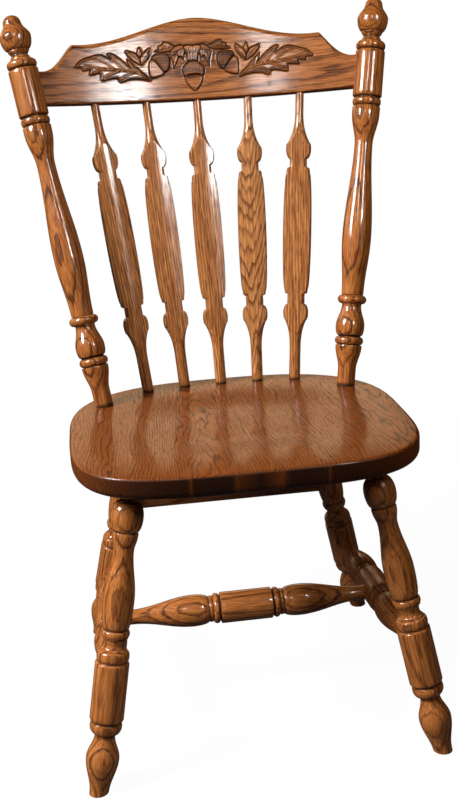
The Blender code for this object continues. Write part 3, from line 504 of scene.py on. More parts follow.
side_middles = []
for hand, sign in (("left", -1), ("right", 1)):
    front_joint = leg_point(True, sign, FRONT_JOINT_HEIGHT)
    rear_joint = leg_point(False, sign, REAR_JOINT_HEIGHT)
    run = (front_joint - rear_joint).normalized()
    shoulder = BLOCK_RADIUS - STRETCHER_BURIED
    side_middles.append(front_joint - run * CROSS_FROM_FRONT)
    stretcher(f"oak_side_stretcher_{hand}", rear_joint + run * shoulder, front_joint - run * shoulder,
              side_middles[-1] - run * SIDE_PATTERN_SHIFT, 40 * sign, 0.5 * sign, f"side_stretcher_{hand}")
cross_shoulder = Vector((BARREL_RADIUS - STRETCHER_BURIED, 0, 0))
stretcher("oak_cross_stretcher", side_middles[0] + cross_shoulder, side_middles[1] - cross_shoulder,
          (side_middles[0] + side_middles[1]) / 2, 150, 0.2, "cross_stretcher")

# Rear stretcher
# A plain red oak board between the rear legs, planed and eased along its edges, tenoned into both legs.
# Only its lower edge shows under the seat from the front.
REAR_BOARD_BOTTOM = 0.255
REAR_BOARD_HEIGHT = 0.042
REAR_BOARD_THICKNESS = 0.018
REAR_BOARD_EASE = 0.0022
# Painted shade: the whole board is darkened evenly, as it lies in the shade under the seat.
REAR_BOARD_PAINTED_SHADE = 0.45
REAR_LEG_RADIUS = 0.0215

rear_foot = leg_point(False, 1, 0.0)
rear_lean = Vector((0, REAR_LEG_LEAN[1], 1))
board_place = along_axis(Vector((0, rear_foot.y, 0)), rear_lean)
board_middle = REAR_BOARD_BOTTOM + REAR_BOARD_HEIGHT / 2
bpy.ops.object.select_all(action="DESELECT")
bpy.ops.mesh.primitive_cube_add(size=1.0, location=(0, 0, 0))
board = bpy.context.active_object
board.name = "oak_rear_stretcher"
leg_slope = REAR_LEG_LEAN[0] / rear_lean.length
for vertex in board.data.vertices:
    rise = board_middle + vertex.co.z * REAR_BOARD_HEIGHT
    reach = rear_foot.x - leg_slope * rise - REAR_LEG_RADIUS + STRETCHER_BURIED
    vertex.co = (2 * vertex.co.x * reach, vertex.co.y * REAR_BOARD_THICKNESS, rise)
edit(board)
bpy.ops.mesh.bevel(offset=REAR_BOARD_EASE, segments=4, affect="EDGES")
bpy.ops.mesh.subdivide(number_cuts=2)
close_edit(35)
spots = places(board)
blank = np.stack([spots[:, 1], spots[:, 2] - board_middle, spots[:, 0] + 0.4], axis=1)
board.data.transform(board_place)
# Painted shade over the whole board, for the shade under the seat.
give_wood(board, turned_oak, blank, np.full(len(spots), REAR_BOARD_PAINTED_SHADE), "rear_stretcher")

# Back posts
# Two posts, each turned in one piece with its acorn knob: cup, rings, vase, flange, long baluster, a plain
# block for the crest rail and the knob. Their feet are glued into blind holes in the seat.
POST_X = 0.1935
POST_BACK_INSET = 0.0545
POST_SPLAY = math.radians(8.55)
BACK_RECLINE = math.radians(12.9)
POST_BLOCK_RADIUS = 0.023
RAIL_END_BOTTOM = 0.469
RAIL_END_TOP = 0.520
BACK_ORIGIN = Vector((0, SEAT_LINE_Y + seat_back_edge(POST_X) - POST_BACK_INSET, SEAT_HEIGHT))
BACK_PLACE = along_axis(BACK_ORIGIN, Vector((0, math.sin(BACK_RECLINE), math.cos(BACK_RECLINE))))


def post_x(rise):
    return POST_X + math.tan(POST_SPLAY) * rise


# The same finish as on the legs, with colours painted darker than the legs' as painted shade; the right
# post is painted paler than the left one as painted light from the right.
post_oak_painted_light = {}
for hand, pale, brown in (("left", "#C0783B", "#955020"), ("right", "#CE803B", "#A05520")):
    post_oak_painted_light[hand] = stained_oak(f"lacquered red oak, turned {hand} post", pale, brown, "#4C210A", gloss=0.08,
                                 **TURNED_CUT)


def post_profile():
    low = RAIL_END_BOTTOM / math.cos(POST_SPLAY) - 0.0167
    high = RAIL_END_TOP / math.cos(POST_SPLAY) + 0.003
    return turning(
        [(-0.004, 0.0143), (0.0005, 0.0143), (0.005, 0.0143), (0.025, 0.0143)],
        (sweep, 0.062, 0.0209, 16), (straight, 0.0631, 0.0206), (straight, 0.0642, 0.0174),
        (bead, 0.013, 0.0226), (straight, 0.0782, 0.0178), (straight, 0.0794, 0.0192),
        (swell, 0.094, 0.0229, 10), (sweep, 0.127, 0.0154, 22), (straight, 0.1295, 0.0155),
        (bead, 0.014, 0.0229), (straight, 0.1443, 0.0174), (sweep, 0.235, 0.0230, 34),
        (sweep, low - 0.075, 0.0142, 34), (sweep, low - 0.027, 0.0217, 20), (straight, low - 0.0168, 0.0219),
        (straight, low - 0.0158, 0.0212), (straight, low - 0.0146, 0.0186), (bead, 0.0128, 0.0224),
        (straight, low - 0.0012, 0.0186), (block, low, high, POST_BLOCK_RADIUS),
        (straight, high + 0.0013, 0.0187), (swell, high + 0.0080, 0.0231, 10),
        (swell, high + 0.0150, 0.0166, 10), (straight, high + 0.0158, 0.0158),
        (sweep, high + 0.0232, 0.0130, 8), (sweep, high + 0.0272, 0.0156, 6),
        (straight, high + 0.0281, 0.0164), (straight, high + 0.0294, 0.0163),
        (straight, high + 0.0301, 0.0150), (swell, high + 0.0500, 0.0241, 18),
        (sweep, high + 0.0712, 0.0140, 22), (straight, high + 0.0716, 0.0137),
        (swell, high + 0.0830, 0.0008, 14))


profile = post_profile()
for hand, sign, ring_side, offset in (("left", -1, -118, -0.15), ("right", 1, -128, 0.75)):
    base = BACK_PLACE @ Vector((sign * POST_X, 0, 0))
    matrix = along_axis(base, BACK_PLACE @ Vector((sign * post_x(1.0), 0, 1.0)) - base)
    post = turn_piece(f"oak_back_post_{hand}", profile, matrix)
    wood_for_turning(post, post_oak_painted_light[hand], profile, matrix, ring_side, offset,
                     f"back_post_{hand}", foot=0.005)

# Spindles
# Five red oak spindles, turned to an arrow outline and then sawn flat on both faces, so that the flats run
# out in a point on the round necks. Feet stand in the seat, necks in the underside of the crest rail.
SPINDLE_PITCH = 0.0604
SPINDLE_TOP_PITCH = 0.0822
SPINDLE_HEAD_SHIFT = -0.0032
SPINDLE_BACK_INSET = 0.0345
SPINDLE_FLAT = 0.0106
ROUND_SINE = 0.985
SPINDLE_EASE = 0.0012
RAIL_END_X = post_x((RAIL_END_BOTTOM + RAIL_END_TOP) / 2) - POST_BLOCK_RADIUS / math.cos(POST_SPLAY)
RAIL_SETBACK = 0.007
RAIL_BOW = 0.055
RAIL_ARCH = 0.006


def rail_depth(x):
    return RAIL_SETBACK + RAIL_BOW * (1 - (x / RAIL_END_X) ** 2)


def rail_slope(x):
    return -2 * RAIL_BOW * x / RAIL_END_X ** 2


def rail_bottom(x):
    return RAIL_END_BOTTOM + RAIL_ARCH * (1 - (x / RAIL_END_X) ** 2)


def flare(points, rise, radius, power, steps=22):
    """Trumpet flare between the last point and a new one, hollow towards its thin end."""
    start_rise, start = points[-1]
    for step in range(1, steps + 1):
        part = step / steps
        blend = part ** power if radius > start else 1 - (1 - part) ** power
        points.append((start_rise + (rise - start_rise) * part, start + (radius - start) * blend))


def spindle_profile(length):
    top = length - 0.1275
    middle = (0.1475 + top) / 2
    return turning(
        [(-0.004, 0.0091), (0.0005, 0.0091), (0.005, 0.0091), (0.045, 0.0091)],
        (flare, 0.098, 0.0180, 3.0), (swell, 0.1096, 0.0204, 6), (swell, 0.1232, 0.0142, 10),
        (straight, 0.1385, 0.0140), (straight, 0.1393, 0.0143), (straight, 0.1405, 0.0172),
        (swell, 0.1475, 0.0190, 5), (swell, middle, 0.0231, 18), (swell, top, 0.0190, 18),
        (swell, length - 0.1190, 0.0172, 5), (straight, length - 0.1178, 0.0143),
        (straight, length - 0.1170, 0.0139), (straight, length - 0.1045, 0.0138),
        (swell, length - 0.0882, 0.0203, 10), (swell, length - 0.0800, 0.0184, 5),
        (flare, length - 0.030, 0.0067, 2.45), (straight, length + 0.004, 0.0066))


def spindle_ring(rise, half, crown, arc=9, flat=9):
    """Round section of a spindle, cut by two slightly crowned flats where it is thick enough for them."""
    room = 1 - 4 * crown * (SPINDLE_FLAT - crown * half ** 2)
    sine = min(ROUND_SINE, (1 - math.sqrt(room)) / (2 * crown * half))
    corner = math.asin(sine)
    ring = []
    for side in (1, -1):
        for step in range(arc):
            turn = -corner + 2 * corner * step / (arc - 1)
            ring.append((side * half * math.cos(turn), side * half * math.sin(turn), rise))
        for step in range(1, flat):
            part = step / flat
            across = half * math.cos(corner) * (1 - 2 * part)
            if sine < ROUND_SINE:
                depth = SPINDLE_FLAT - crown * across ** 2
            else:
                depth = math.sqrt(half ** 2 - across ** 2)
            ring.append((side * across, side * depth, rise))
    return ring


# Golden brown with straight fine lines along the spindle.
rift_oak = stained_oak("lacquered red oak, rift sawn spindles", "#DA9453", "#9E5621", "#52260C",
                       ring_mm=4.4, pith_mm=34, slope=0.0, wander_mm=9, gloss=0.12, pore_mm=1.1)
# The fourth spindle is flat sawn and shows a flame of dark pointed arches.
flame_oak = stained_oak("lacquered red oak, flat sawn spindle", "#D7945A", "#AA682B", "#5A2B0D",
                        ring_mm=4.4, pith_mm=13, slope=-0.16, wander_mm=18, gloss=0.12, line=0.5, solid=0.9,
                        pore_mm=1.0, jitter=1.1, fleck=0.5)
# Number, wood, side that the rings face, place in the blank, lean of the grain, turn and crown of the flats
SPINDLES = ((1, rift_oak, 12, 0.1, 0.03, -5.5, 8.0),
            (2, rift_oak, 20, 0.35, 0.01, -2.7, 3.2),
            (3, rift_oak, 6, 0.62, 0.015, 3.2, 3.2),
            (4, flame_oak, -52, 0.9, 0, 0, 3.2),
            (5, rift_oak, 26, 1.3, 0.02, 0, 3.2))
for number, wood, ring_side, offset, lean, twist, crown in SPINDLES:
    place = number - 3
    foot_x = place * SPINDLE_PITCH
    head_x = place * SPINDLE_TOP_PITCH + SPINDLE_HEAD_SHIFT
    base = Vector((foot_x, SEAT_LINE_Y + seat_back_edge(foot_x) - SPINDLE_BACK_INSET, SEAT_HEIGHT))
    head = BACK_PLACE @ Vector((head_x, rail_depth(head_x), rail_bottom(head_x)))
    matrix = along_axis(base, head - base) @ Matrix.Rotation(
        math.atan(rail_slope(head_x)) + math.radians(twist), 4, "Z")
    profile = spindle_profile((head - base).length)
    spindle = skin(f"oak_spindle_{number}", [spindle_ring(*point, crown) for point in profile])
    edit(spindle)
    close_edit(30)
    soften = spindle.modifiers.new("eased corners", "BEVEL")
    soften.width = SPINDLE_EASE
    soften.segments = 2
    soften.limit_method = "ANGLE"
    soften.angle_limit = math.radians(36)
    bpy.ops.object.modifier_apply(modifier=soften.name)
    spindle.data.transform(matrix)
    wood_for_turning(spindle, wood, profile, matrix, ring_side, offset, f"spindle_{number}",
                     strength=0.0, lean=lean, foot=0.005)

# Crest rail
# A steam-bent red oak board, band-sawn to a crown with an ogee down to each post, tenoned into the posts.
# Its front is hot-pressed with oak leaves and acorns; dark glaze and painted shade fill the pressed lines.
RAIL_THICKNESS = 0.022
RAIL_SHOULDER_RUN = 0.051
RAIL_SHOULDER_RISE = 0.0427
RAIL_PEAK_RISE = 0.0415
RAIL_OGEE_POWER = 0.62
RAIL_CROWN_POWER = 0.92
RAIL_TOP_ROUND = 0.0075
RAIL_EDGE_EASE = 0.002
RAIL_BURIED = 0.006
RAIL_END_STATIONS = 34
PRESSED_LEFT, PRESSED_RIGHT, PRESSED_STEP = -0.196, 0.188, 0.00088
PRESSED_BOTTOM, PRESSED_TOP = 0.486, 0.569
LOW_POINTS, PRESSED_POINTS, HIGH_POINTS = 7, 104, 13
FRONT_POINTS = LOW_POINTS + PRESSED_POINTS + HIGH_POINTS
RAIL_BLANK_SHIFT = (0, -0.53, 0.8)
CARVING_CENTRE = -4.5
PRESS_DEPTH = 1.5
PRESS_WIDTH = 1.05
PILLOW_RISE = 1.3
PILLOW_RUN = 3.2


def rail_top(x):
    shoulder_x = RAIL_END_X - RAIL_SHOULDER_RUN
    shoulder = RAIL_END_TOP + RAIL_SHOULDER_RISE
    if abs(x) <= shoulder_x:
        part = (abs(x) / shoulder_x) ** RAIL_CROWN_POWER
        return shoulder + RAIL_PEAK_RISE * (1 + math.cos(math.pi * part)) / 2
    part = min((abs(x) - shoulder_x) / RAIL_SHOULDER_RUN, 1.0) ** RAIL_OGEE_POWER
    return RAIL_END_TOP + RAIL_SHOULDER_RISE * (1 + math.cos(math.pi * part)) / 2


# Outlines and veins of the pressed ornament, in millimetres from its middle and along the rail's rise.
BIG_LEAF = [(-71, 506), (-84, 519), (-96, 531), (-105.5, 540), (-104, 531), (-101.5, 526), (-110, 534),
            (-121, 543), (-130, 548.5), (-136, 548), (-133.5, 543), (-131, 539), (-139, 543), (-150, 546.5),
            (-165, 542.5), (-178, 537.5), (-185, 531), (-188, 526), (-178, 526), (-176, 521.5), (-165, 523),
            (-166, 515.5), (-150, 518), (-148.5, 507), (-138, 509), (-124, 511), (-119, 504.5), (-106, 508.5),
            (-88, 509)]
BIG_LEAF_VEINS = [[(-72, 507), (-92, 519), (-115, 523), (-145, 525), (-172, 530)],
                  [(-96, 520), (-103, 534)], [(-112, 523), (-122, 534), (-131, 545)],
                  [(-128, 524), (-142, 536), (-158, 540)], [(-98, 519), (-112, 513.5), (-119, 509)],
                  [(-120, 523), (-136, 516), (-146, 511)], [(-143, 525), (-158, 519)]]
LEAFLET_LEFT = [(-83, 531), (-95, 536), (-103, 544), (-107, 553), (-98, 551), (-91, 548), (-86, 540)]
LEAFLET_RIGHT = [(-83, 531), (-76, 538), (-70.5, 546), (-68.5, 557), (-76, 553), (-82, 547), (-85, 540)]
LEAFLET_MIDDLE = [(-84, 538), (-89, 547), (-86, 558.5), (-81.5, 550), (-82.5, 544)]
LEAFLET_VEINS = [[(-84, 534), (-94, 543), (-103, 550)], [(-82.5, 534), (-76, 543), (-71, 552)]]
SIDE_CAP = [(-65.5, 540), (-62.5, 546), (-51, 548), (-41, 546.5), (-38, 540), (-39, 529), (-43, 521),
            (-49, 520), (-53, 525), (-59, 534)]
SIDE_NUT = [(-66, 539), (-71, 534), (-72, 523), (-70, 511), (-62, 511), (-53, 514), (-48, 519.5),
            (-53, 526), (-59, 534)]
OVER_LEAF = [(-61, 552), (-54, 556), (-55, 559.5), (-48, 562), (-46, 566), (-38, 565), (-30, 560), (-22, 557),
             (-30, 553), (-42, 550.5), (-52, 550.5)]
OVER_LEAF_VEINS = [[(-57, 553), (-42, 556), (-26, 557)], [(-48, 555), (-45, 561)],
                   [(-39, 556.5), (-36, 561.5)]]
DROOP_LEAF = [(-12, 557), (-19, 561), (-27, 559), (-34, 553), (-36.5, 545.5), (-33, 536), (-31.5, 525),
              (-28, 532), (-25, 537), (-22.5, 542), (-17.5, 540.5), (-15.5, 537), (-14.5, 545), (-12, 551)]
DROOP_LEAF_VEINS = [[(-13, 556), (-24, 552), (-30, 543), (-31, 533)], [(-24, 552), (-31, 551)],
                    [(-28, 547), (-34, 545)], [(-20, 554), (-20, 546)], [(-25, 550), (-25, 543)]]
STEMS = [[(-11, 554), (-8.5, 545), (-6.5, 535)], [(-6, 556), (-5, 545), (-3.5, 535)],
         [(0, 556), (-1, 545), (-0.5, 535)], [(6, 555), (3.5, 545), (2.5, 535)],
         [(10, 553), (7, 545), (5, 535)]]
STEM_BED = [(-14, 557), (-7, 560.5), (0, 559), (7, 560.5), (14, 557), (9, 545), (7, 535), (0, 533), (-8, 535),
            (-10, 545)]
MIDDLE_CAP = [(-1, 535.5), (8, 532), (15, 525.5), (16.5, 518), (13, 511), (5, 513.5), (-5, 513.5), (-15, 511),
              (-18.5, 518), (-17, 525.5), (-10, 532)]
MIDDLE_NUT = [(-15, 512), (-14.5, 504), (-9.5, 495.5), (-1, 487.5), (7.5, 495.5), (12.5, 504), (13, 512),
              (5, 513.5), (-5, 513.5)]
LEAF_RIM = 3.1


def mirrored(outline):
    return [(-x, rise) for x, rise in reversed(outline)]


def rounded(outline, closed=True, cuts=7):
    """Smooth curve through given points."""
    points = np.array(outline, dtype=float)
    count = len(points)
    curve = []
    for i in range(count if closed else count - 1):
        if closed:
            a, b, c, d = (points[(i + k) % count] for k in (-1, 0, 1, 2))
        else:
            a, b, c, d = (points[min(max(i + k, 0), count - 1)] for k in (-1, 0, 1, 2))
        for step in range(cuts):
            t = step / cuts
            curve.append(0.5 * (2 * b + (c - a) * t + (2 * a - 5 * b + 4 * c - d) * t ** 2
                                + (3 * b - a - 3 * c + d) * t ** 3))
    if not closed:
        curve.append(points[-1])
    return np.array(curve)


def line_distance(spots, line, closed):
    """Distance of each spot from a line of points, and whether the spot lies inside it."""
    ends = np.roll(line, -1, axis=0) if closed else line[1:]
    starts = line if closed else line[:-1]
    best = np.full(len(spots), 1e9)
    inside = np.zeros(len(spots), dtype=bool)
    for a, b in zip(starts, ends):
        step = b - a
        part = np.clip(((spots - a) @ step) / max(step @ step, 1e-12), 0, 1)
        gap = spots - a - part[:, None] * step
        best = np.minimum(best, np.einsum("ij,ij->i", gap, gap))
        if closed and a[1] != b[1]:
            level = (a[1] > spots[:, 1]) != (b[1] > spots[:, 1])
            inside ^= level & (spots[:, 0] < step[0] * (spots[:, 1] - a[1]) / step[1] + a[0])
    return np.sqrt(best), inside


def press(spots):
    """Height and darkening (glaze with painted shade) of the pressed ornament, in millimetres and from 0 to
    1, at spots on the rail.
    """
    height = np.zeros(len(spots))
    glaze_and_painted_shade = np.zeros(len(spots))

    def near(line, margin):
        low, high = line.min(axis=0) - margin, line.max(axis=0) + margin
        return np.nonzero(((spots > low) & (spots < high)).all(axis=1))[0]

    def pillow(outline, rise, hatch=0.0, shade=0.0, veins=(), rim=0.0):
        line = rounded(outline)
        at = near(line, 4.0)
        gap, inside = line_distance(spots[at], line, True)
        grown = rise * (1 - (1 - np.clip(gap / PILLOW_RUN, 0, 1)) ** 2)
        cut = np.exp(-(gap / PRESS_WIDTH) ** 2)
        level = np.where(inside, grown, height[at])
        dark = np.where(inside, shade, glaze_and_painted_shade[at])
        if rim:
            step = np.where(inside, np.clip((gap - rim + 0.5) / 1.0, 0, 1), 0)
            second = np.where(inside, np.exp(-((gap - rim) / (0.85 * PRESS_WIDTH)) ** 2), 0)
            level = level - 0.55 * step - 0.5 * second
            dark = np.maximum(dark, np.maximum(0.15 * step, 0.95 * second))
        if hatch:
            u, v = spots[at, 0], spots[at, 1]
            weave = np.sin(2 * math.pi * (u + v) / hatch) * np.sin(2 * math.pi * (u - v) / hatch)
            level = np.where(inside, level + 0.45 * weave, level)
            dark = np.where(inside, np.clip(shade - 0.6 * weave, 0, 1), dark)
        height[at] = level - PRESS_DEPTH * cut
        glaze_and_painted_shade[at] = np.maximum(dark, np.clip(1.25 * cut, 0, 1))
        for vein in veins:
            (raise_vein if rim else carve)(vein)

    def carve(vein, depth=0.8, width=0.8):
        line = rounded(vein, closed=False)
        at = near(line, 3.0)
        cut = np.exp(-(line_distance(spots[at], line, False)[0] / width) ** 2)
        height[at] -= depth * cut
        glaze_and_painted_shade[at] = np.maximum(glaze_and_painted_shade[at], 0.95 * cut)

    def raise_vein(vein):
        """A raised ridge, bare of glaze, between two lines darkened by glaze and painted shade."""
        line = rounded(vein, closed=False)
        at = near(line, 4.0)
        gap = line_distance(spots[at], line, False)[0]
        ridge = np.exp(-(gap / 0.9) ** 2)
        flank = np.exp(-((gap - 1.8) / 0.7) ** 2)
        height[at] += 0.7 * ridge - 0.45 * flank
        glaze_and_painted_shade[at] = np.maximum(glaze_and_painted_shade[at] * (1 - 0.9 * ridge), 0.8 * flank)

    for flip, narrow, over_shade in ((list, 1.0, 0.1), (mirrored, 0.8, 0.6)):
        pillow(flip(BIG_LEAF), PILLOW_RISE, veins=[flip(vein) for vein in BIG_LEAF_VEINS], rim=LEAF_RIM)
        pillow(flip(LEAFLET_MIDDLE), PILLOW_RISE, shade=0.25)
        pillow(flip(LEAFLET_LEFT), PILLOW_RISE)
        pillow(flip(LEAFLET_RIGHT), PILLOW_RISE, veins=[flip(vein) for vein in LEAFLET_VEINS])
        over_veins = [flip(vein) for vein in OVER_LEAF_VEINS]
        pillow(flip(OVER_LEAF), PILLOW_RISE, shade=over_shade, veins=over_veins)
        droop = [[(x * narrow, rise) for x, rise in flip(line)] for line in [DROOP_LEAF] + DROOP_LEAF_VEINS]
        pillow(droop[0], PILLOW_RISE, shade=0.1, veins=droop[1:])
        pillow(flip(SIDE_NUT), 2.0)
        pillow(flip(SIDE_CAP), 2.2, hatch=6.0, shade=0.75)
    pillow(STEM_BED, 0.9)
    for stem in STEMS:
        carve(stem, 0.9, 0.75)
    pillow(MIDDLE_NUT, 2.0)
    pillow(MIDDLE_CAP, 2.3, hatch=6.0, shade=0.6)
    return height, np.clip(glaze_and_painted_shade, 0, 1)


def rail_stations():
    """Places along the rail: close together where it is pressed, wider apart towards the posts."""
    fine = np.arange(PRESSED_LEFT, PRESSED_RIGHT, PRESSED_STEP)
    left = np.linspace(-RAIL_END_X - RAIL_BURIED, fine[0], RAIL_END_STATIONS)[:-1]
    right = np.linspace(fine[-1], RAIL_END_X + RAIL_BURIED, RAIL_END_STATIONS)[1:]
    return np.concatenate([left, fine, right])


def quarter(depth, rise, radius, start, steps):
    """Quarter circle about a centre, clockwise from a start angle in degrees."""
    turns = np.radians(start - 90 * np.arange(steps + 1) / steps)
    return [(depth + radius * math.cos(turn), rise + radius * math.sin(turn)) for turn in turns]


def rail_loop(x):
    """Section of the rail as (depth behind the front, rise) points, up the front and down the back."""
    bottom, top = rail_bottom(x), rail_top(x)
    low, high = bottom + RAIL_EDGE_EASE, top - RAIL_TOP_ROUND
    start = min(PRESSED_BOTTOM, low + 0.3 * (high - low))
    end = PRESSED_TOP
    if high < PRESSED_TOP + 0.001:
        end = max(high - 0.004, low + 0.8 * (high - low))
    rises = np.concatenate([np.linspace(low, start, LOW_POINTS + 1)[:-1],
                            np.linspace(start, end, PRESSED_POINTS + 1)[:-1],
                            np.linspace(end, high, HIGH_POINTS)])
    loop = [(0.0, rise) for rise in rises]
    loop += quarter(RAIL_TOP_ROUND, high, RAIL_TOP_ROUND, 180, 7)[1:]
    loop += quarter(RAIL_THICKNESS - 2 * RAIL_EDGE_EASE, top - 2 * RAIL_EDGE_EASE, 2 * RAIL_EDGE_EASE, 90, 4)
    loop += [(RAIL_THICKNESS, rise) for rise in np.linspace(top - 0.012, bottom + 0.01, 6)]
    loop += quarter(RAIL_THICKNESS - RAIL_EDGE_EASE, low, RAIL_EDGE_EASE, 0, 3)
    loop += quarter(RAIL_EDGE_EASE, low, RAIL_EDGE_EASE, -90, 3)
    return loop[:-1]


stations = rail_stations()
loops = np.array([[(x, depth, rise) for depth, rise in rail_loop(x)] for x in stations])
front = loops[:, :FRONT_POINTS]
# Painted shade with glaze: this mask darkens the pressed lines.
pressed, pressed_glaze_and_shade = press(np.stack([front[:, :, 0].ravel() / MM - CARVING_CENTRE,
                                         front[:, :, 2].ravel() / MM], axis=1))
front[:, :, 1] -= (pressed * MM).reshape(front.shape[:2])
rail_glaze_and_shade = np.zeros(loops.shape[:2])
rail_glaze_and_shade[:, :FRONT_POINTS] = pressed_glaze_and_shade.reshape(front.shape[:2])
blank = (loops[:, :, [1, 2, 0]] + RAIL_BLANK_SHIFT).reshape(-1, 3)
slopes = rail_slope(stations)[:, None]
square = np.sqrt(1 + slopes ** 2)
behind = loops[:, :, 1].copy()
loops[:, :, 0] -= behind * slopes / square
loops[:, :, 1] = (rail_depth(stations) - RAIL_THICKNESS / 2)[:, None] + behind / square
rail = skin("oak_crest_rail", loops)
edit(rail)
bpy.ops.mesh.normals_make_consistent(inside=False)
bpy.ops.object.mode_set(mode="OBJECT")
bpy.ops.object.shade_smooth_by_angle(angle=math.radians(50))
rail.data.transform(BACK_PLACE)
# A flatter brown with broad dark flecks of early wood, glossy enough for wide pale glare.
crest_oak = stained_oak("lacquered red oak, bent and pressed", "#C47B3C", "#965120", "#4C2207",
                        ring_mm=7.0, pith_mm=70, slope=0.03, wander_mm=18, gloss=0.165, line=0.46, solid=0.85,
                        pore_mm=1.0, fleck=0.6)
give_wood(rail, crest_oak, blank, 0.95 * rail_glaze_and_shade.ravel(), "crest_rail")

# Crest pins
# An oak dowel driven in from behind through each post and the rail's tenon, cut off and sanded nearly flush.
PIN_RADIUS = 0.0025
PIN_OFFSET = 0.007
PIN_DEPTH = 0.014

# Small dark discs of plain dowel wood.
pin_oak = stained_oak("stained oak dowel", "#8A5328", "#6E3D1B", "#45230F",
                      ring_mm=1.6, pith_mm=20, slope=0.01, wander_mm=1, gloss=0.2)
pin_rise = (RAIL_END_BOTTOM + RAIL_END_TOP) / 2
pin_face = math.sqrt(POST_BLOCK_RADIUS ** 2 - PIN_OFFSET ** 2) + 0.0004
for hand, sign in (("left", -1), ("right", 1)):
    start = BACK_PLACE @ Vector((sign * (post_x(pin_rise) - PIN_OFFSET), 0, pin_rise))
    behind = BACK_PLACE @ Vector((0, 1, 0)) - BACK_PLACE @ Vector((0, 0, 0))
    matrix = along_axis(start, behind)
    profile = turning([(-PIN_DEPTH, PIN_RADIUS), (pin_face - 0.0008, PIN_RADIUS)],
                      (swell, pin_face, 0.0006, 5))
    pin = turn_piece(f"oak_crest_pin_{hand}", profile, matrix, 24)
    wood_for_turning(pin, pin_oak, profile, matrix, 0.0, 0.1, f"crest_pin_{hand}")

# Floor, backdrop, lights and camera
# A white studio: pale floor and backdrop, a large soft box on the left, narrow ones on a stand at the right,
# a small fill above the camera and dim lamps behind and beside the chair. The camera stands a little to the
# left and looks slightly down.
FLOOR_HALF = 6.0
FLOOR_GLOW = 0.96
BACKDROP_LEVEL = 2.05
ROOM_LEVEL = 0.017
RIGHT_STAND = (0.83, -1.49, 1.66)


def seen_ray(tree):
    """One on the camera's own rays, also where they have come through the faded floor."""
    rays = [put(tree, "ShaderNodeLightPath", out=f"Is {kind} Ray") for kind in ("Camera", "Transmission")]
    return maths(tree, "MAXIMUM", *rays)


bpy.ops.object.select_all(action="DESELECT")
bpy.ops.mesh.primitive_plane_add(size=2 * FLOOR_HALF, location=(0, 0, -0.0005))
floor = bpy.context.active_object
floor.name = "studio_floor"
# White paper that keeps the chair's soft shadow and fades out into the white round it.
paper = bpy.data.materials.new("white paper")
paper.use_nodes = True
tree = paper.node_tree
tree.nodes.clear()
lit = put(tree, "ShaderNodeBsdfDiffuse", {"Color": linear("#3C3B3A")})
glossy = put(tree, "ShaderNodeLightPath", out="Is Glossy Ray")
seen = maths(tree, "MULTIPLY_ADD", glossy, 0.01, seen_ray(tree))
glow = maths(tree, "MULTIPLY", seen, FLOOR_GLOW)
glow = put(tree, "ShaderNodeEmission", {"Strength": glow})
bright = put(tree, "ShaderNodeAddShader", {0: lit, 1: glow})
where = put(tree, "ShaderNodeTexCoord", out="Object")
away = put(tree, "ShaderNodeVectorMath", {0: where}, out="Value", operation="LENGTH")
fade = span(tree, away, 0.7, 2.0, interpolation_type="SMOOTHSTEP")
clear = put(tree, "ShaderNodeBsdfTransparent")
mixed = put(tree, "ShaderNodeMixShader", {0: fade, 1: bright, 2: clear})
put(tree, "ShaderNodeOutputMaterial", {"Surface": mixed})
floor.data.materials.append(paper)

# White to the eye; the lacquer mirrors a bright low panel behind the chair, and little light comes from it.
world = bpy.data.worlds.new("white studio")
bpy.context.scene.world = world
world.use_nodes = True
tree = world.node_tree
tree.nodes.clear()
toward = put(tree, "ShaderNodeTexCoord", out="Generated")
aside, depth, height = (put(tree, "ShaderNodeSeparateXYZ", {0: toward}, out=axis) for axis in "XYZ")
LOW_END = (height, 0.1, 0.25, 0.0, 1.0)
HIGH_END = (height, 0.31, 0.44, 1.0, 0.05)
BRIGHTER_RIGHT = (aside, -0.05, 0.25, 0.85, 1.05)
RIGHT_END = (aside, 0.26, 0.34, 1.0, 0.0)
backdrop = span(tree, depth, 0.2, 0.6)
for edge in (LOW_END, HIGH_END, BRIGHTER_RIGHT, RIGHT_END):
    backdrop = maths(tree, "MULTIPLY", backdrop, span(tree, *edge))
backdrop = maths(tree, "MULTIPLY_ADD", backdrop, BACKDROP_LEVEL, 0.012)
glossy = put(tree, "ShaderNodeLightPath", out="Is Glossy Ray")
strength = put(tree, "ShaderNodeMix", {0: glossy, 2: ROOM_LEVEL, 3: backdrop}, data_type="FLOAT")
seen = seen_ray(tree)
strength = put(tree, "ShaderNodeMix", {0: seen, 2: strength, 3: 1.0}, data_type="FLOAT")
warm = put(tree, "ShaderNodeMix", {0: seen, 6: linear("#FFD6A8"), 7: (1, 1, 1, 1)}, 2, data_type="RGBA")
sky = put(tree, "ShaderNodeBackground", {"Color": warm, "Strength": strength})
put(tree, "ShaderNodeOutputWorld", {"Surface": sky})


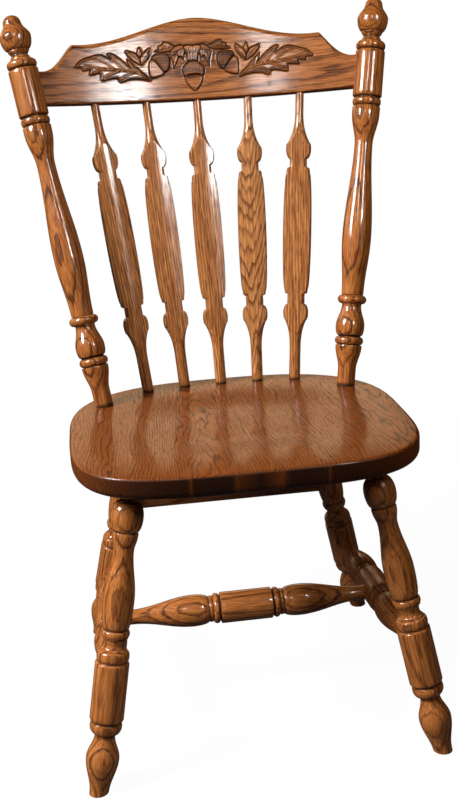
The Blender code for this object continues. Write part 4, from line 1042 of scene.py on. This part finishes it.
def soft_box(name, place, target, width, height, watts, beam=180, glint=True):
    """Lamp aimed at a target with a beam in degrees, and with or without a glint in the lacquer."""
    lamp = bpy.data.lights.new(name, "AREA")
    lamp.shape = "RECTANGLE"
    lamp.size = width
    lamp.size_y = height
    lamp.energy = watts
    lamp.spread = math.radians(beam)
    made = add(name, lamp)
    made.visible_camera = False
    made.visible_glossy = glint
    made.location = place
    made.rotation_euler = (Vector(target) - Vector(place)).to_track_quat("-Z", "Y").to_euler()


soft_box("soft_box_left", (-1.92, -0.66, 1.95), (-0.05, -0.1, 0.02), 0.80, 0.95, 26.0, 90)
soft_box("soft_box_right", RIGHT_STAND, (0, 0.2, 1.0), 0.44, 0.58, 1.02, 40)
soft_box("soft_box_right_low", (0.83, -1.49, 1.18), (0, 0.2, 0.9), 0.38, 0.38, 0.06, 50)
soft_box("soft_box_front_legs", RIGHT_STAND, (-0.07, -0.28, 0.12), 0.20, 0.30, 0.28, 26)
soft_box("fill_over_camera", (-0.39, -1.66, 1.92), (0.12, 0.2, 1.0), 0.28, 0.36, 0.7, 80)
soft_box("soft_box_back", (0.25, 2.3, 0.95), (0, 0.2, 0.62), 1.2, 0.9, 20.0, glint=False)
soft_box("soft_box_right_side", (2.3, 0.45, 1.0), (0.1, 0.1, 0.5), 0.9, 0.9, 4.0, glint=False)

# The camera's place and its own directions, fitted to the chair in the photograph, and its lens in mm
CAMERA_PLACE = (-0.1895, -1.6197, 0.9618)
CAMERA_RIGHT = (0.99033, -0.12863, -0.05204)
CAMERA_UP = (0.08661, 0.27996, 0.95610)
CAMERA_BACK = (-0.10841, -0.95136, 0.28839)
CAMERA_LENS = 50.38

lens = bpy.data.cameras.new("camera")
lens.lens = CAMERA_LENS
camera = add("camera", lens)
turned = Matrix((CAMERA_RIGHT, CAMERA_UP, CAMERA_BACK)).transposed().to_4x4()
camera.matrix_world = Matrix.Translation(CAMERA_PLACE) @ turned
bpy.context.scene.camera = camera
bpy.context.scene.view_settings.view_transform = "Standard"
